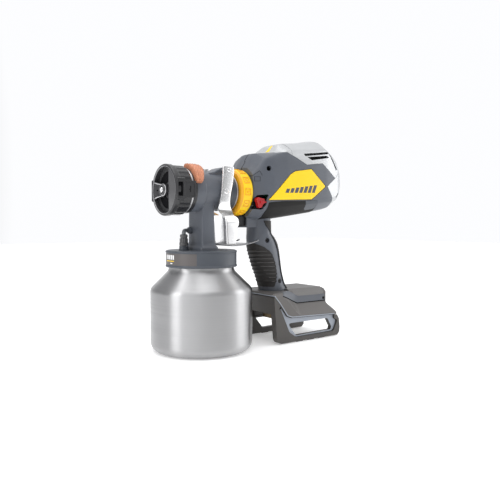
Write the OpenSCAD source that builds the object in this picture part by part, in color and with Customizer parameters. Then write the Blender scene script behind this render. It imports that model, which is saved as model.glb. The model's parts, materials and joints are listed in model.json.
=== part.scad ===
// Cordless turbine paint sprayer with a bottom cup.
// Frame: +Z up, the spray leaves towards -X, the left side of the housing faces -Y.
// Origin: centre of the cup's base, on the surface that the sprayer stands on. Millimetres.

/* [Cup] */
// Outer radius of the cup
cup_r = 63; // [60:0.5:65]
// Height at which the cup's wall turns into the shoulder
cup_wall_h = 72.8; // [70:0.2:74]
// Outer radius of the cup's neck
neck_r = 40.4; // [39:0.1:40.8]
// Thickness of the cup's aluminium wall
cup_t = 1; // [0.8:0.1:1.4]

/* [Spray head] */
// Height of the gun axis above the ground
axis_z = 196; // [195:0.5:197]
// X of the air cap's front rim
cap_front_x = -51.7; // [-52:0.1:-51]
// Radius of the air cap's rim
cap_r = 30.6; // [30:0.1:31]
// Radius of the front barrel
barrel_r = 26; // [25.6:0.1:26.2]
// Height of the top of the container lid
lid_top = 124; // [123:0.5:124.5]

/* [Trigger] */
// Height of the trigger's pivot
pivot_z = 221.5; // [221:0.1:222]
// X of the trigger's pivot
pivot_x = 23; // [22.5:0.1:23.5]
// Outer half width of the trigger's yoke
yoke_w = 27.4; // [27:0.1:28]

/* [Housing] */
// Wall thickness of the housing
wall = 2.4; // [2:0.1:2.8]
// Outer radius of the lock ring
ring_r = 29.4; // [29:0.1:30]
// Height of the motor's axis
motor_z = 208; // [207:0.5:209]
// Half width of the battery foot
foot_w = 41.5; // [40:0.5:42]
// Height of the foot's platform underside
dock_z = 33.2; // [32.8:0.1:33.4]

/* [Hidden] */
$fn = 64;

// Colours
slate = [0.345, 0.361, 0.392];
graphite = [0.26, 0.27, 0.29];
rubber = [0.2, 0.19, 0.18];
silver = [0.88, 0.89, 0.89];
steel = [0.72, 0.73, 0.75];
black = [0.14, 0.14, 0.15];
yellow = [1, 0.8, 0.12];
copper = [0.8, 0.53, 0.38];
red = [0.72, 0.11, 0.14];
brass = [0.8, 0.65, 0.35];

gap = 0.35;
big = 300;
shoulder_r = 10;
neck_curve_r = 8;
base_r = 12.6;
neck_top = 114;
lid_r = 44.1;
pin_r = 2;
crosspin_x = 18;
crosspin_r = 2.5;

// Sections of the motor housing from front to back:
// x, top z, top half width, shoulder z, half width, lower z, half width, bottom z, half width
housing_sections = [
    [60, 228, 14, 218, 27, 176, 27, 165, 14],
    [66, 237, 17, 226, 31, 177, 31, 163, 15],
    [73, 247, 19, 238, 35, 179, 35, 162, 16],
    [87, 248.4, 18.5, 244, 38, 181, 38.5, 162, 17],
    [97, 249.4, 18, 246.4, 38.4, 182, 39.4, 163, 18],
    [109, 261.3, 17, 249, 39, 183, 40.5, 164.5, 19],
    [145, 266.5, 17, 252.5, 39, 186, 41.5, 169.5, 21],
    [175, 271, 17, 255.5, 38, 188, 40.5, 174, 22],
    [192, 263.5, 17, 248, 36, 190, 38, 177.5, 22],
    [202, 254, 17, 240, 34.5, 193, 36, 183.5, 21],
    [206, 247, 16, 234, 33, 197, 34.5, 191, 21],
    [211, 238, 15, 228, 30, 205, 31, 201, 18],
    [214, 232, 14, 226, 27, 213, 27, 209, 15]
];

// Sections of the grip from the top down: z, centre x, half depth, half width
grip_sections = [
    [170, 90, 17, 17],
    [158, 89, 14.6, 17.5],
    [145, 89, 14.7, 18],
    [137, 91.8, 18.6, 18.4],
    [129, 94.6, 21.1, 18.5],
    [121, 96.7, 21.3, 18.5],
    [110, 99.4, 20.5, 18.5],
    [99, 102.3, 19.3, 18.2],
    [88, 105.9, 18, 18],
    [77, 109.7, 17.7, 18.2],
    [67, 114, 20, 20]
];

// Outlines in side view, as x and z
cover_outline = [[97, 247.7], [108, 248.5], [140, 234], [153, 236], [169, 237.7],
    [195.6, 219.3], [204.6, 227.3], [225, 240], [225, 290], [97, 290]];
rear_outline = [[204.6, 227.3], [195.6, 219.3], [177.8, 207.3], [189.5, 192], [191.7, 184],
    [193, 165], [230, 165], [230, 243.2], [225, 240]];
label_outline = [[76, 185.4], [111, 220.7], [119, 225.2], [147.5, 229.6], [174.8, 207],
    [147.8, 188]];
belly_outline = [[78, 150], [78, 183.5], [100, 185.5], [160.6, 187.6], [163.5, 177.6], [165, 150]];
dial_outline = [[59, 174.8], [72.5, 174.2], [78.2, 193.5], [63.7, 192.2]];
trigger_outline = [[15, 226.5], [31, 226.5], [31, 219], [28, 204], [25.5, 190], [24.5, 178],
    [29, 170.5], [36, 165.5], [46, 163], [48.6, 157], [46, 153.5], [43.5, 150], [43.5, 131],
    [42, 129.4], [28, 129.4], [27, 145], [26, 160], [20, 166], [8.5, 173.5], [10.5, 185],
    [12.8, 198], [14, 210]];
guard_outline = [[82.6, 63.6], [92.5, 52.6], [105, 35.8], [113, 33], [190.6, 30.2],
    [196, 29.8], [200, 24], [201.4, 12], [200.8, 5], [197, 1.2], [95, 1.2], [90, 3], [87.7, 7]];
guard_window = [[107.5, 26], [180, 25.8], [187.6, 13.6], [186, 9.4], [122, 8.6]];
guard_recess = [[92.6, 51], [94.4, 44.5], [108.6, 14.6], [120.7, 6.6], [189.8, 7],
    [197, 22], [190.6, 25], [190.6, 36], [105, 40]];
foot_outline = [[82.6, 64], [92.5, 53], [105, 36.2], [113, 33.4], [190.6, 30.6], [196, 30.4],
    [193, 36], [184, 46], [184, 66], [181, 68], [138, 68], [136, 67], [84.5, 67]];

// Route of the vent hose from the valve to the head's stem
hose_route = [[-22, 5, 143.6], [-22, 5, 144.8], [-21.5, 5.5, 146.3], [-20.3, 6.7, 147.4],
    [-18.6, 8.5, 147.9], [-16.6, 10.3, 148], [-14.6, 11.3, 148], [-13, 11.5, 148],
    [-11, 11.5, 148], [-9, 11.5, 148]];
hose_r = 2.6;
port_y = 11.5;
port_z = 148;

// Screws along Y: x, z, depth of the skin there
housing_screw_places = [[78, 226, 32.5], [90, 134.5, 16], [111.5, 80, 16]];
screw_seat_y = 13.5;
foot_screw_x = 191.5;
foot_screw_y = 35.4;

// x of the dial's axis, its height and its radius over the ribs
dial_x = 67.6;
dial_z = 183.5;
dial_r = 8.1;

function arc_points(cx, cy, r, a0, a1, n) =
    [for (i = [0:n]) let (a = a0 + (a1 - a0) * i / n) [cx + r * cos(a), cy + r * sin(a)]];

// Cup outline from the axis out and up, moved inwards by t
function cup_outline(t, top) =
    let (s = shoulder_r - t, n = neck_curve_r + t)
    let (zc = cup_r - shoulder_r + cup_wall_h + (s + n) * sqrt(2) - neck_r - neck_curve_r)
    concat([[0, t]],
        arc_points(cup_r - base_r, base_r, base_r - t, -90, 0, 8),
        arc_points(cup_r - shoulder_r, cup_wall_h, s, 0, 45, 4),
        arc_points(neck_r + neck_curve_r, zc, n, 225, 180, 4),
        [[neck_r - t, top], [0, top]]);

function cut_corners(p) =
    let (n = len(p))
    [for (i = [0:n - 1], k = [0.25, 0.75]) p[i] * (1 - k) + p[(i + 1) % n] * k];

// Housing section s as a ring of 16 points, moved outwards by d
function housing_ring(s, d) =
    let (half = [[s[2] + 0.4 * d, s[1] + d], [s[4] + d, s[3] + 0.5 * d],
        [s[6] + d, s[5] - 0.5 * d], [s[8] + 0.4 * d, s[7] - d]])
    cut_corners(concat([for (p = half) [-p[0], p[1]]], [for (i = [3:-1:0]) half[i]]));

function loft_faces(rings, n) =
    concat([[for (j = [0:n - 1]) j]],
        [for (i = [0:rings - 2], j = [0:n - 1])
            let (a = i * n + j, b = i * n + (j + 1) % n)
            each [[a, a + n, b + n], [a, b + n, b]]],
        [[for (j = [n - 1:-1:0]) (rings - 1) * n + j]]);

// Unit vectors along a route at point i, and across it and a fixed direction
function along(p, i) = let (v = p[min(i + 1, len(p) - 1)] - p[max(i - 1, 0)]) v / norm(v);
function across(v, fixed) = let (u = cross(v, fixed)) u / norm(u);

// A round bar of n sides along a route that is never parallel to the fixed direction
module swept_bar(route, r, n, fixed) {
    points = [for (i = [0:len(route) - 1], j = [0:n - 1])
        let (v = along(route, i), a = across(v, fixed), b = cross(v, a), t = 360 * j / n)
        route[i] + r * (a * cos(t) + b * sin(t))];
    polyhedron(points, loft_faces(len(route), n));
}

// A solid cylinder, a tube and a turned outline (radius, x) about an axis parallel to X
module rod_x(x0, x1, r, z = axis_z) {
    translate([x0, 0, z]) rotate([0, 90, 0]) cylinder(r = r, h = x1 - x0);
}
module tube_x(x0, x1, r, bore, z = axis_z) {
    difference() {
        rod_x(x0, x1, r, z);
        rod_x(x0 - 1, x1 + 1, bore, z);
    }
}
module turned_x(outline, z = axis_z) {
    translate([0, 0, z]) rotate([0, 90, 0]) rotate_extrude() polygon(outline);
}

// A cylinder along Y
module rod_y(x, z, y0, y1, r) {
    translate([x, y1, z]) rotate([90, 0, 0]) cylinder(r = r, h = y1 - y0);
}

// A tube along Z
module tube_z(x, y, z0, z1, r, bore) {
    translate([x, y, z0]) difference() {
        cylinder(r = r, h = z1 - z0);
        translate([0, 0, -1]) cylinder(r = bore, h = z1 - z0 + 2);
    }
}

// Prisms of an (x, z) outline along Y and of a (y, z) outline along X
module prism_y(outline, y0, y1) {
    translate([0, y1, 0]) rotate([90, 0, 0]) linear_extrude(height = y1 - y0) polygon(outline);
}
module prism_x(outline, x0, x1) {
    translate([x0, 0, 0]) rotate([90, 0, 90]) linear_extrude(height = x1 - x0) polygon(outline);
}

module block(low, high) {
    translate(low) cube(high - low);
}

// A compression spring along +X
module spring_x(x0, x1, r, wire, turns, z = axis_z) {
    steps = 12 * turns;
    route = [for (i = [0:steps])
        [x0 + wire + (x1 - x0 - 2 * wire) * i / steps, r * cos(30 * i), z + r * sin(30 * i)]];
    swept_bar(route, wire, 6, [1, 0, 0]);
}

module housing_solid(d) {
    last = len(housing_sections) - 1;
    points = [for (i = [0:last])
        let (s = housing_sections[i], x = s[0] + (i == 0 ? -d : i == last ? d : 0))
        for (p = housing_ring(s, d)) [x, p[0], p[1]]];
    polyhedron(points, loft_faces(last + 1, 16));
}

module grip_solid(d) {
    points = [for (s = grip_sections, j = [0:19])
        [s[1] + (s[2] + d) * cos(18 * j), -(s[3] + d) * sin(18 * j), s[0]]];
    polyhedron(points, loft_faces(len(grip_sections), 20));
}

module housing_skin(outer, inner) {
    difference() {
        housing_solid(outer);
        housing_solid(inner);
    }
}

// ---- Cup and lid ----

module cup() {
    color(silver) difference() {
        union() {
            rotate_extrude() polygon(cup_outline(0, neck_top));
            for (z = [106, 109.6]) translate([0, 0, z]) cylinder(r = neck_r + 0.6, h = 1.6);
        }
        rotate_extrude() polygon(cup_outline(cup_t, neck_top + 1));
    }
}

module container_lid() {
    inner_r = neck_r + 1;
    ceiling_z = neck_top + 2.5;
    color(graphite) difference() {
        union() {
            translate([0, 0, 103.7]) cylinder(r = lid_r, h = lid_top - 104.7);
            translate([0, 0, lid_top - 1]) cylinder(r1 = lid_r, r2 = lid_r - 1, h = 1);
        }
        translate([0, 0, 100]) cylinder(r = inner_r, h = ceiling_z - 100);
        translate([0, 0, 100]) cylinder(r = 34, h = 20);
        translate([0, 0, 100]) cylinder(r = 4.1, h = 40);
        translate([-22, 5, 100]) cylinder(r = 2, h = 40);
    }
}

module lid_seal() {
    color(black) tube_z(0, 0, neck_top, neck_top + 2.5, neck_r, 35);
}

module suction_tube() {
    color(steel) difference() {
        union() {
            translate([0, 0, 30]) cylinder(r = 4, h = 100);
            translate([0, 0, 30]) sphere(r = 4);
            translate([0, 0, 30]) rotate([0, 235, 0]) cylinder(r = 4, h = 32);
        }
        translate([0, 0, 30]) cylinder(r = 2.8, h = 101);
        translate([0, 0, 30]) sphere(r = 2.8);
        translate([0, 0, 30]) rotate([0, 235, 0]) cylinder(r = 2.8, h = 33);
    }
}

module suction_strainer() {
    color(black) translate([0, 0, 30]) rotate([0, 235, 0]) difference() {
        translate([0, 0, 24]) cylinder(r = 7, h = 12);
        translate([0, 0, 23]) cylinder(r = 4, h = 9);
        translate([0, 0, 31]) cylinder(r = 5.6, h = 6);
        for (a = [0:45:135]) rotate([0, 0, a]) translate([-8, -1, 33]) cube([16, 2, 4]);
    }
}

module vent_valve() {
    color(graphite) difference() {
        union() {
            translate([-22, 5, lid_top]) cylinder(r = 5.6, h = 5.4);
            translate([-22, 5, lid_top - 4]) cylinder(r = 2, h = 4);
        }
        translate([-22, 5, lid_top + 2.4]) cylinder(r = 4, h = 4);
        translate([-22, 5, lid_top - 5]) cylinder(r = 1, h = 9);
    }
}

module vent_membrane() {
    color(silver) translate([-22, 5, lid_top + 2.4]) cylinder(r = 3.9, h = 0.8);
}

module vent_cap() {
    color(black) difference() {
        union() {
            translate([-22, 5, lid_top + 5.4]) cylinder(r = 4.6, h = 9);
            for (a = [0:30:330]) translate([-22, 5, lid_top + 5.4]) rotate([0, 0, a])
                translate([4.5, -0.6, 0]) cube([0.5, 1.2, 9]);
            translate([-22, 5, lid_top + 14.4]) cylinder(r = 3.7, h = 5.2);
        }
        translate([-22, 5, lid_top + 3]) cylinder(r = 1.1, h = 20);
    }
}

module vent_hose() {
    color(silver) swept_bar(hose_route, hose_r, 12, [0.5, -1, 0]);
}

// ---- Spray head ----

module head_body() {
    color(slate) difference() {
        union() {
            rod_x(-36, -26, barrel_r - 1.5);
            rod_x(-26, -6.5, barrel_r);
            rod_x(-6.5, 27, 23.2);
            rod_x(22, 27, 23.9);
            block([-9, -17, lid_top], [10, 17, axis_z - 14]);
            block([-12, -20, lid_top], [13, 20, lid_top + 4]);
            prism_y([[5, axis_z + 20], [5, 219], [27, 226.5], [27, axis_z + 20]], -11, 11);
            translate([-12, port_y, port_z]) rotate([0, 90, 0]) cylinder(r = hose_r + 1.2, h = 5);
        }
        // Front air chamber, round the paint tube
        difference() {
            rod_x(-37, -7, 21.5);
            rod_x(-38, -6, 8.5);
            block([-8, -7, 150], [-6, 7, axis_z]);
        }
        // Rear air chamber, round the needle gland and the paint riser
        difference() {
            rod_x(-2, 28, 19.5);
            rod_x(-3, 8, 8.5);
            translate([0, 0, 170]) cylinder(r = 7, h = axis_z - 170);
        }
        for (a = [45:90:315]) translate([0, 14 * cos(a), 14 * sin(a)]) rod_x(-8, 0, 3.6);
        rod_x(-37, 9, 3.5);
        rod_x(2, 9, 4.2);
        rod_x(-37, -32, 9);
        translate([0, 0, lid_top - 1]) cylinder(r = 3.6, h = axis_z - lid_top);
        translate([0, 0, lid_top - 1]) cylinder(r = 4.1, h = 7.1);
        for (s = [-1, 1]) {
            block([-6.5, s * 9.5 - 3.5, lid_top - 1], [7.5, s * 9.5 + 3.5, 156]);
            block([15.2, s * 21 - 5, axis_z - 3], [24.4, s * 21 + 5, axis_z + 3]);
        }
        translate([-13, port_y, port_z]) rotate([0, 90, 0]) cylinder(r = hose_r + 0.05, h = 4);
        translate([-13, port_y, port_z]) rotate([0, 90, 0]) cylinder(r = 1.6, h = 7.5);
        rod_y(pivot_x, pivot_z, -12, 12, pin_r);
    }
}

module nozzle_tip() {
    color(steel) turned_x([[2.6, -36.5], [11, -36.5], [11, -33], [3.4, -33], [3.4, -30],
        [2.6, -30]]);
    color(steel) turned_x([[2.6, -36.5], [2.6, -47], [0.9, -50], [0.9, -55.6], [3, -55.6],
        [3.6, -55], [3.6, -46], [7, -41], [8, -36.5]]);
}

module nozzle_gasket() {
    color(black) tube_x(-33, -32, 8.4, 4.1);
}

module air_cap() {
    color(black) difference() {
        union() {
            turned_x([[4.3, -54.6], [7.4, -54.6], [9.6, -50.4], [9.6, -48.4], [26.5, -48.4],
                [28.5, cap_front_x], [29.8, cap_front_x], [cap_r, cap_front_x + 0.8],
                [cap_r, -45.5], [22.1, -45.5], [22.1, -41], [24.4, -41], [24.4, -36.3], [19, -36.3], [19, -45.6],
                [4.3, -45.6]]);
            // Raised wings to the left and right of the hub
            intersection() {
                rod_x(-51, -46, 28);
                union() {
                    prism_x([[0, axis_z], [-30, axis_z + 25], [-30, axis_z - 25]], -52, -45);
                    prism_x([[0, axis_z], [30, axis_z - 25], [30, axis_z + 25]], -52, -45);
                }
            }
            // Side lugs
            for (s = [-1, 1]) difference() {
                union() {
                    block([-50.7, s * 31.6 - 1.6, axis_z - 8.5], [-26.2, s * 31.6 + 1.6, axis_z + 8.5]);
                    block([-50.7, s * 31.6 - 1.6, axis_z - 13], [-44, s * 31.6 + 1.6, axis_z + 13]);
                }
                rod_x(-60, -20, 30.2);
            }
        }
        rod_x(-58, -40, 4.3);
        // Dark windows in the rim beside the lugs and the air holes of the pockets
        for (s = [-1, 1]) {
            block([-50, s * 31.6 - 2.4, axis_z - 8], [-47.2, s * 31.6 + 2.4, axis_z + 8]);
            translate([0, 0, s * 17]) rod_x(-52, -44, 1.5);
        }
    }
}

module union_nut() {
    color(black) difference() {
        union() {
            rod_x(-45, -28, 29.2);
            for (a = [0:15:345]) translate([-44, 0, axis_z]) rotate([a, 0, 0])
                translate([0, -0.8, 29]) cube([15, 1.6, 0.7]);
        }
        rod_x(-46, -40, 22.5);
        rod_x(-41.3, -27, barrel_r - 1.1);
    }
}

module width_ring() {
    tab_outline = concat([for (a = [17:6:95]) [-33 * cos(a), axis_z + 33 * sin(a)]],
        [for (a = [95:-6:17]) [-26.8 * cos(a), axis_z + 26.8 * sin(a)]]);
    color(copper) union() {
        tube_x(-25.6, -21, 27.3, barrel_r + gap);
        difference() {
            prism_x(tab_outline, -25.6, -8);
            prism_y([[-7, 190], [-15, 205], [-10, 216], [-7, 224]], -60, 10);
            rod_x(-30, 0, barrel_r + gap);
        }
        for (a = [24:9:87]) translate([-24.6, 0, axis_z]) rotate([90 - a, 0, 0])
            translate([0, -0.7, 32.6]) cube([9, 1.4, 0.8]);
    }
}

module needle() {
    color(steel) difference() {
        union() {
            turned_x([[0, -51.8], [0.55, -51.8], [0.55, -50.3], [2, -46], [2, 13], [5, 13], [5, 22],
                [2, 22], [2, 38], [0, 38]]);
        }
        rod_y(crosspin_x, axis_z, -6, 6, crosspin_r);
    }
}

module needle_crosspin() {
    color(steel) rod_y(crosspin_x, axis_z, -yoke_w, yoke_w, crosspin_r);
}

module needle_packing() {
    color(black) tube_x(2, 8, 4.2, 2.05);
}

module needle_spring() {
    color(steel) spring_x(22, 35, 4, 0.6, 5);
}

module coupling_sleeve() {
    color(graphite) difference() {
        union() {
            rod_x(27, 37.4, 21.5);
            rod_x(37.4, 41.2, 23.4);
            rod_x(41.2, 56, 19.6);
        }
        rod_x(26, 35, 18);
        rod_x(38, 57, 17.2);
        for (a = [0:120:240]) translate([34, 0, axis_z]) rotate([a, 0, 0])
            prism_x([[7 * cos(-20), 7 * sin(-20)], [16, -7], [16, 7], [7 * cos(20), 7 * sin(20)]],
                0, 5);
        rod_x(26, 57, 2.4);
        difference() {
            rod_x(49, 51.4, 21);
            rod_x(48, 52, 18.4);
        }
    }
}

module coupling_oring() {
    color(rubber) translate([50.2, 0, axis_z]) rotate([0, 90, 0]) rotate_extrude()
        translate([19.2, 0]) circle(r = 0.8);
}

module lock_ring() {
    color(yellow) difference() {
        union() {
            rod_x(43.4, 57, ring_r);
            turned_x([[20, 41.5], [27.6, 41.5], [ring_r, 43.4], [20, 43.4]]);
            turned_x([[20, 57], [ring_r, 57], [ring_r - 0.8, 58.6], [20, 58.6]]);
            for (a = [0:30:330]) translate([46, 0, axis_z]) rotate([a, 0, 0])
                translate([0, -4.5, ring_r - 0.6]) cube([8.5, 9, 1.1]);
        }
        rod_x(41, 59, 20.2);
        rod_x(43.3, 59, 24.5);
    }
}

module air_outlet() {
    color(graphite) difference() {
        union() {
            rod_x(43.7, 65.2, 24.1);
            rod_x(62.6, 65.2, 25.2);
            rod_x(62.6, 112, 17.5);
        }
        rod_x(43, 62.6, 20);
        rod_x(60, 113, 15.5);
    }
}

// ---- Trigger ----

module trigger() {
    // Front view of one side: yoke plate, shoulder and blade wall, as y and z
    side = [[yoke_w, 226.5], [yoke_w, 173], [14, 163.5], [14, 129.4], [11, 129.4], [11, 165.5],
        [24.6, 175], [24.6, 226.5]];
    color(steel) difference() {
        union() {
            intersection() {
                prism_y(trigger_outline, -yoke_w, yoke_w);
                union() {
                    prism_x(side, 5, 50);
                    mirror([0, 1, 0]) prism_x(side, 5, 50);
                    block([28.2, -yoke_w, 220.5], [31, yoke_w, 226.5]);
                    block([45.4, -14, 153.5], [48.6, 14, 160]);
                }
            }
            prism_y([[24.6, 165.5], [28, 168], [29.6, 160], [30.4, 145], [31.2, 129.4],
                [28, 129.4], [27, 145], [26, 160]], -14, 14);
            // Finger leaf: a U that passes both sides of the grip
            difference() {
                prism_y(concat(arc_points(36, 248.2, 120, -101, -71.5, 8),
                    arc_points(36, 248.2, 118, -71.5, -101, 8)), -22.6, 22.6);
                block([56, -20.2, 120], [90, 20.2, 150]);
                block([-10, -30, 110], [16, -14, 150]);
                block([-10, 14, 110], [16, 30, 150]);
            }
        }
        rod_y(pivot_x, pivot_z, -30, 30, pin_r + 0.06);
        for (s = [-1, 1]) block([crosspin_x - 2.85, s * 26 - 2, axis_z - 4.5],
            [crosspin_x + 2.85, s * 26 + 2, axis_z + 4.5]);
    }
}

module trigger_pin() {
    color(steel) rod_y(pivot_x, pivot_z, -yoke_w, yoke_w, pin_r);
}

// ---- Housing ----

module screw_bosses(side, r) {
    for (p = housing_screw_places) rod_y(p[0], p[1], side < 0 ? -p[2] : 0, side < 0 ? 0 : p[2], r);
}

// Both halves of the handle and motor housing, before they are parted
module handle_shell(side) {
    difference() {
        union() {
            difference() {
                union() {
                    housing_solid(0);
                    grip_solid(0);
                    block([61.5, -11, 151.5], [82, 11, 168]);
                }
                housing_solid(-wall);
                grip_solid(-wall);
                block([57, -8.9, 153], [80, 8.9, 170]);
                prism_y(cover_outline, -60, 60);
                prism_y(rear_outline, -60, 60);
            }
            screw_bosses(side, 5);
        }
        block([-big, side < 0 ? 0 : -big, -big], [big, side < 0 ? big : 0, big]);
        rod_x(55, 70, 24.2);
    }
}

// Recesses for the parts let into the skin
module skin_recesses() {
    difference() {
        intersection() {
            housing_skin(1, -1.2);
            union() {
                prism_y(label_outline, -60, 60);
                prism_y(belly_outline, -60, 60);
            }
        }
        grip_solid(0);
    }
}

module shell_left() {
    color(slate) difference() {
        handle_shell(-1);
        skin_recesses();
        prism_y(dial_outline, -60, -20);
        rod_y(dial_x, dial_z, -60, -20, dial_r + 0.5);
        for (p = housing_screw_places) {
            rod_y(p[0], p[1], -60, -screw_seat_y, 3.3);
            rod_y(p[0], p[1], -60, 1, 1.7);
        }
    }
}

module shell_right() {
    color(slate) difference() {
        handle_shell(1);
        skin_recesses();
        for (p = housing_screw_places) rod_y(p[0], p[1], -1, 11, 1.5);
    }
}

module top_cover() {
    color(silver) difference() {
        intersection() {
            housing_skin(0, -wall);
            prism_y(cover_outline, -60, 60);
        }
        // Air intake slots on both sides
        prism_y([[128, 246.4], [175, 252], [175, 254], [128, 248.4]], -60, 60);
        prism_y([[134.6, 242.6], [176.5, 247.8], [197, 228], [198, 229.4], [177.5, 249.8],
            [134.6, 244.4]], -60, 60);
    }
}

module rear_cap() {
    color(silver) difference() {
        intersection() {
            housing_skin(0, -wall);
            prism_y(rear_outline, -60, 60);
        }
        prism_y([[199, 192], [203.5, 199], [202, 200], [197.6, 193]], -60, 60);
    }
}

module label_panel(side) {
    color(yellow) intersection() {
        housing_skin(0.3, -1.2);
        prism_y(label_outline, side < 0 ? -60 : 20, side < 0 ? -20 : 60);
    }
}
module label_left() {
    label_panel(-1);
}
module label_right() {
    label_panel(1);
}

module belly_guard() {
    color(rubber) difference() {
        intersection() {
            housing_skin(0.5, -1.2);
            prism_y(belly_outline, -60, 60);
        }
        grip_solid(0);
    }
}

// Overmoulded band over the grip between two offsets, cut by a side outline
module grip_band(d, outline) {
    intersection() {
        difference() {
            grip_solid(d);
            grip_solid(0);
        }
        prism_y(outline, -40, 40);
    }
}

module grip_pad() {
    color(rubber) grip_band(0.9, [[60, 131], [74, 131], [86, 125.5], [96.5, 117.5], [103, 104],
        [105.4, 92], [105, 80], [102.5, 72.5], [60, 72.5]]);
}

module grip_spine() {
    // Section of the pad over the box, as y and z
    pad = [[31, 59], [31.7, 59], [31.7, 62.3], [25.3, 68.9], [-25.3, 68.9], [-31.7, 62.3],
        [-31.7, 59], [-31, 59], [-31, 62], [-25, 68], [25, 68], [31, 62]];
    color(rubber) union() {
        grip_band(1.1, [[84.5, 160], [88, 153], [97.5, 145], [103, 135], [110.5, 120],
            [114.5, 99], [118.7, 79.5], [124, 68.4], [150, 68.4], [150, 160]]);
        difference() {
            prism_x(pad, 133.8, 179);
            grip_solid(0);
        }
    }
}

module power_dial() {
    color(red) difference() {
        union() {
            rod_y(dial_x, dial_z, -33, -27.4, 7.2);
            for (a = [0:45:315]) translate([dial_x, -27.4, dial_z]) rotate([90, 0, 0])
                rotate([0, 0, a]) translate([6.4, -1.2, 0]) cube([dial_r - 6.4, 2.4, 5.6]);
            prism_y([[dial_x - 1, dial_z + 1.6], [dial_x + 7.8, dial_z + 1], [dial_x + 7.8, dial_z - 1],
                [dial_x - 1, dial_z - 1.6]], -34.5, -32.9);
        }
        rod_y(dial_x, dial_z, -31, -27, 3.03);
    }
}

module dial_potentiometer() {
    color(graphite) union() {
        rod_y(dial_x, dial_z, -27, -24.8, 5);
        rod_y(dial_x, dial_z, -30.8, -27, 3);
        rod_y(dial_x + 1, dial_z, -24.8, -20.4, 1.6);
    }
}

module switch_body() {
    color(black) difference() {
        block([62, -8.8, 153.2], [79.5, 8.8, 167.4]);
        block([61, -7.8, 154.2], [77, 7.8, 166.4]);
    }
}

module switch_plunger() {
    color(black) union() {
        block([49, -7.4, 154.7], [64, 7.4, 165.6]);
        block([50, -3, 152.6], [52.5, 3, 154.8]);
    }
}

module switch_spring() {
    color(steel) spring_x(64, 77, 3.5, 0.5, 5, 160.2);
}

// ---- Motor and turbine ----

module motor_can() {
    color(steel) difference() {
        rod_x(142, 190, 24, motor_z);
        rod_x(149, 183, 22.5, motor_z);
        rod_x(141, 191, 4, motor_z);
        for (x = [143.5, 183.5]) rod_x(x - 5, x + 5, 8, motor_z);
        for (a = [0:60:300]) translate([0, 15 * cos(a), 15 * sin(a)]) rod_x(141, 191, 3, motor_z);
    }
}

module motor_stator() {
    color(copper) tube_x(152, 180, 22.4, 14, motor_z);
}

module motor_rotor() {
    color(graphite) tube_x(153, 179, 13.2, 2.5, motor_z);
}

module motor_shaft() {
    color(steel) rod_x(116, 189, 2.5, motor_z);
}

module motor_bearings() {
    color(steel) for (x = [143.5, 183.5]) tube_x(x, x + 5, 8, 2.54, motor_z);
}

module motor_mounts() {
    color(rubber) for (x = [150, 177]) tube_x(x, x + 6, 29, 24, motor_z);
}

module impeller() {
    blades = 12;
    color(graphite) difference() {
        union() {
            rod_x(130, 132, 30.5, motor_z);
            rod_x(118, 132, 7, motor_z);
            for (i = [0:blades - 1]) translate([120, 0, motor_z]) rotate([360 * i / blades, 0, 0])
                translate([0, -0.6, 5]) cube([11, 1.2, 25]);
        }
        rod_x(110, 140, 2.5, motor_z);
    }
}

module turbine_housing() {
    color(graphite) difference() {
        rod_x(112, 138, 34, motor_z);
        rod_x(114, 136, 32, motor_z);
        rod_x(111, 115, 15.5);
        rod_x(130, 140, 14, motor_z);
    }
}

module air_filter() {
    color(rubber) difference() {
        block([150, -24, 242], [188, 24, 250]);
        for (y = [-20:8:20]) block([153, y - 2.5, 245], [185, y + 2.5, 251]);
    }
}

module control_board() {
    color([0.1, 0.35, 0.2]) union() {
        block([66, -20.4, 176], [108, -18.8, 212]);
        block([84, -24, 196], [92, -20.4, 206]);
        block([96, -23, 184], [104, -20.4, 192]);
    }
}

// ---- Battery foot ----

module foot_cover() {
    // Sections across the foot at its front and behind the grip, as y and z
    front = [[foot_w, 28], [foot_w, 60], [40.5, 63], [38.5, 66], [36, 67], [-36, 67],
        [-38.5, 66], [-40.5, 63], [-foot_w, 60], [-foot_w, 28]];
    rear = [[foot_w, 28], [foot_w, 34], [31, 48], [31, 62], [25, 68], [-25, 68], [-31, 62],
        [-31, 48], [-foot_w, 34], [-foot_w, 28]];
    inner = [[-28.5, 36], [-28.5, 61], [-24, 65.4], [24, 65.4], [28.5, 61], [28.5, 36]];
    rings = [for (p = front) [80, p[0], p[1]], for (p = front) [98, p[0], p[1]],
        for (p = rear) [131, p[0], p[1]], for (p = rear) [205, p[0], p[1]]];
    color(graphite) difference() {
        intersection() {
            prism_y(foot_outline, -foot_w, foot_w);
            polyhedron(rings, loft_faces(4, 10));
        }
        prism_x(inner, 108, 181);
        block([104, -32.5, 20], [200, 32.5, dock_z]);
        block([110, -12, 30], [124, 12, 40]);
        for (s = [-1, 1]) {
            translate([foot_screw_x, s * foot_screw_y, 20]) cylinder(r = 1.4, h = 14.5);
            rod_y(179.5, 53.5, s * 31 - 2, s * 31 + 2, 2.2);
        }
    }
}

module foot_guard() {
    color(graphite) difference() {
        union() {
            for (s = [-1, 1]) difference() {
                prism_y(guard_outline, s * (foot_w - 4.5) - 4.5, s * (foot_w - 4.5) + 4.5);
                prism_y(guard_window, -60, 60);
                prism_y(guard_recess, s * (foot_w + 1) - 4, s * (foot_w + 1) + 4);
                rod_y(93.6, 47.4, s * foot_w - 3, s * foot_w + 3, 2);
            }
            prism_y([[82.6, 63.6], [92.5, 52.6], [94, 48], [92, 39.5], [84.9, 39.5]],
                -foot_w + 8, foot_w - 8);
        }
        for (s = [-1, 1], x = [128, 148, 168])
            block([x - 6.2, s * (foot_w - 4.5) - 3, 0], [x + 6.2, s * (foot_w - 4.5) + 3, 2.6]);
        for (s = [-1, 1]) translate([foot_screw_x, s * foot_screw_y, 0]) {
            cylinder(r = 2.8, h = 18);
            cylinder(r = 1.7, h = 40);
        }
    }
}

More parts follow.
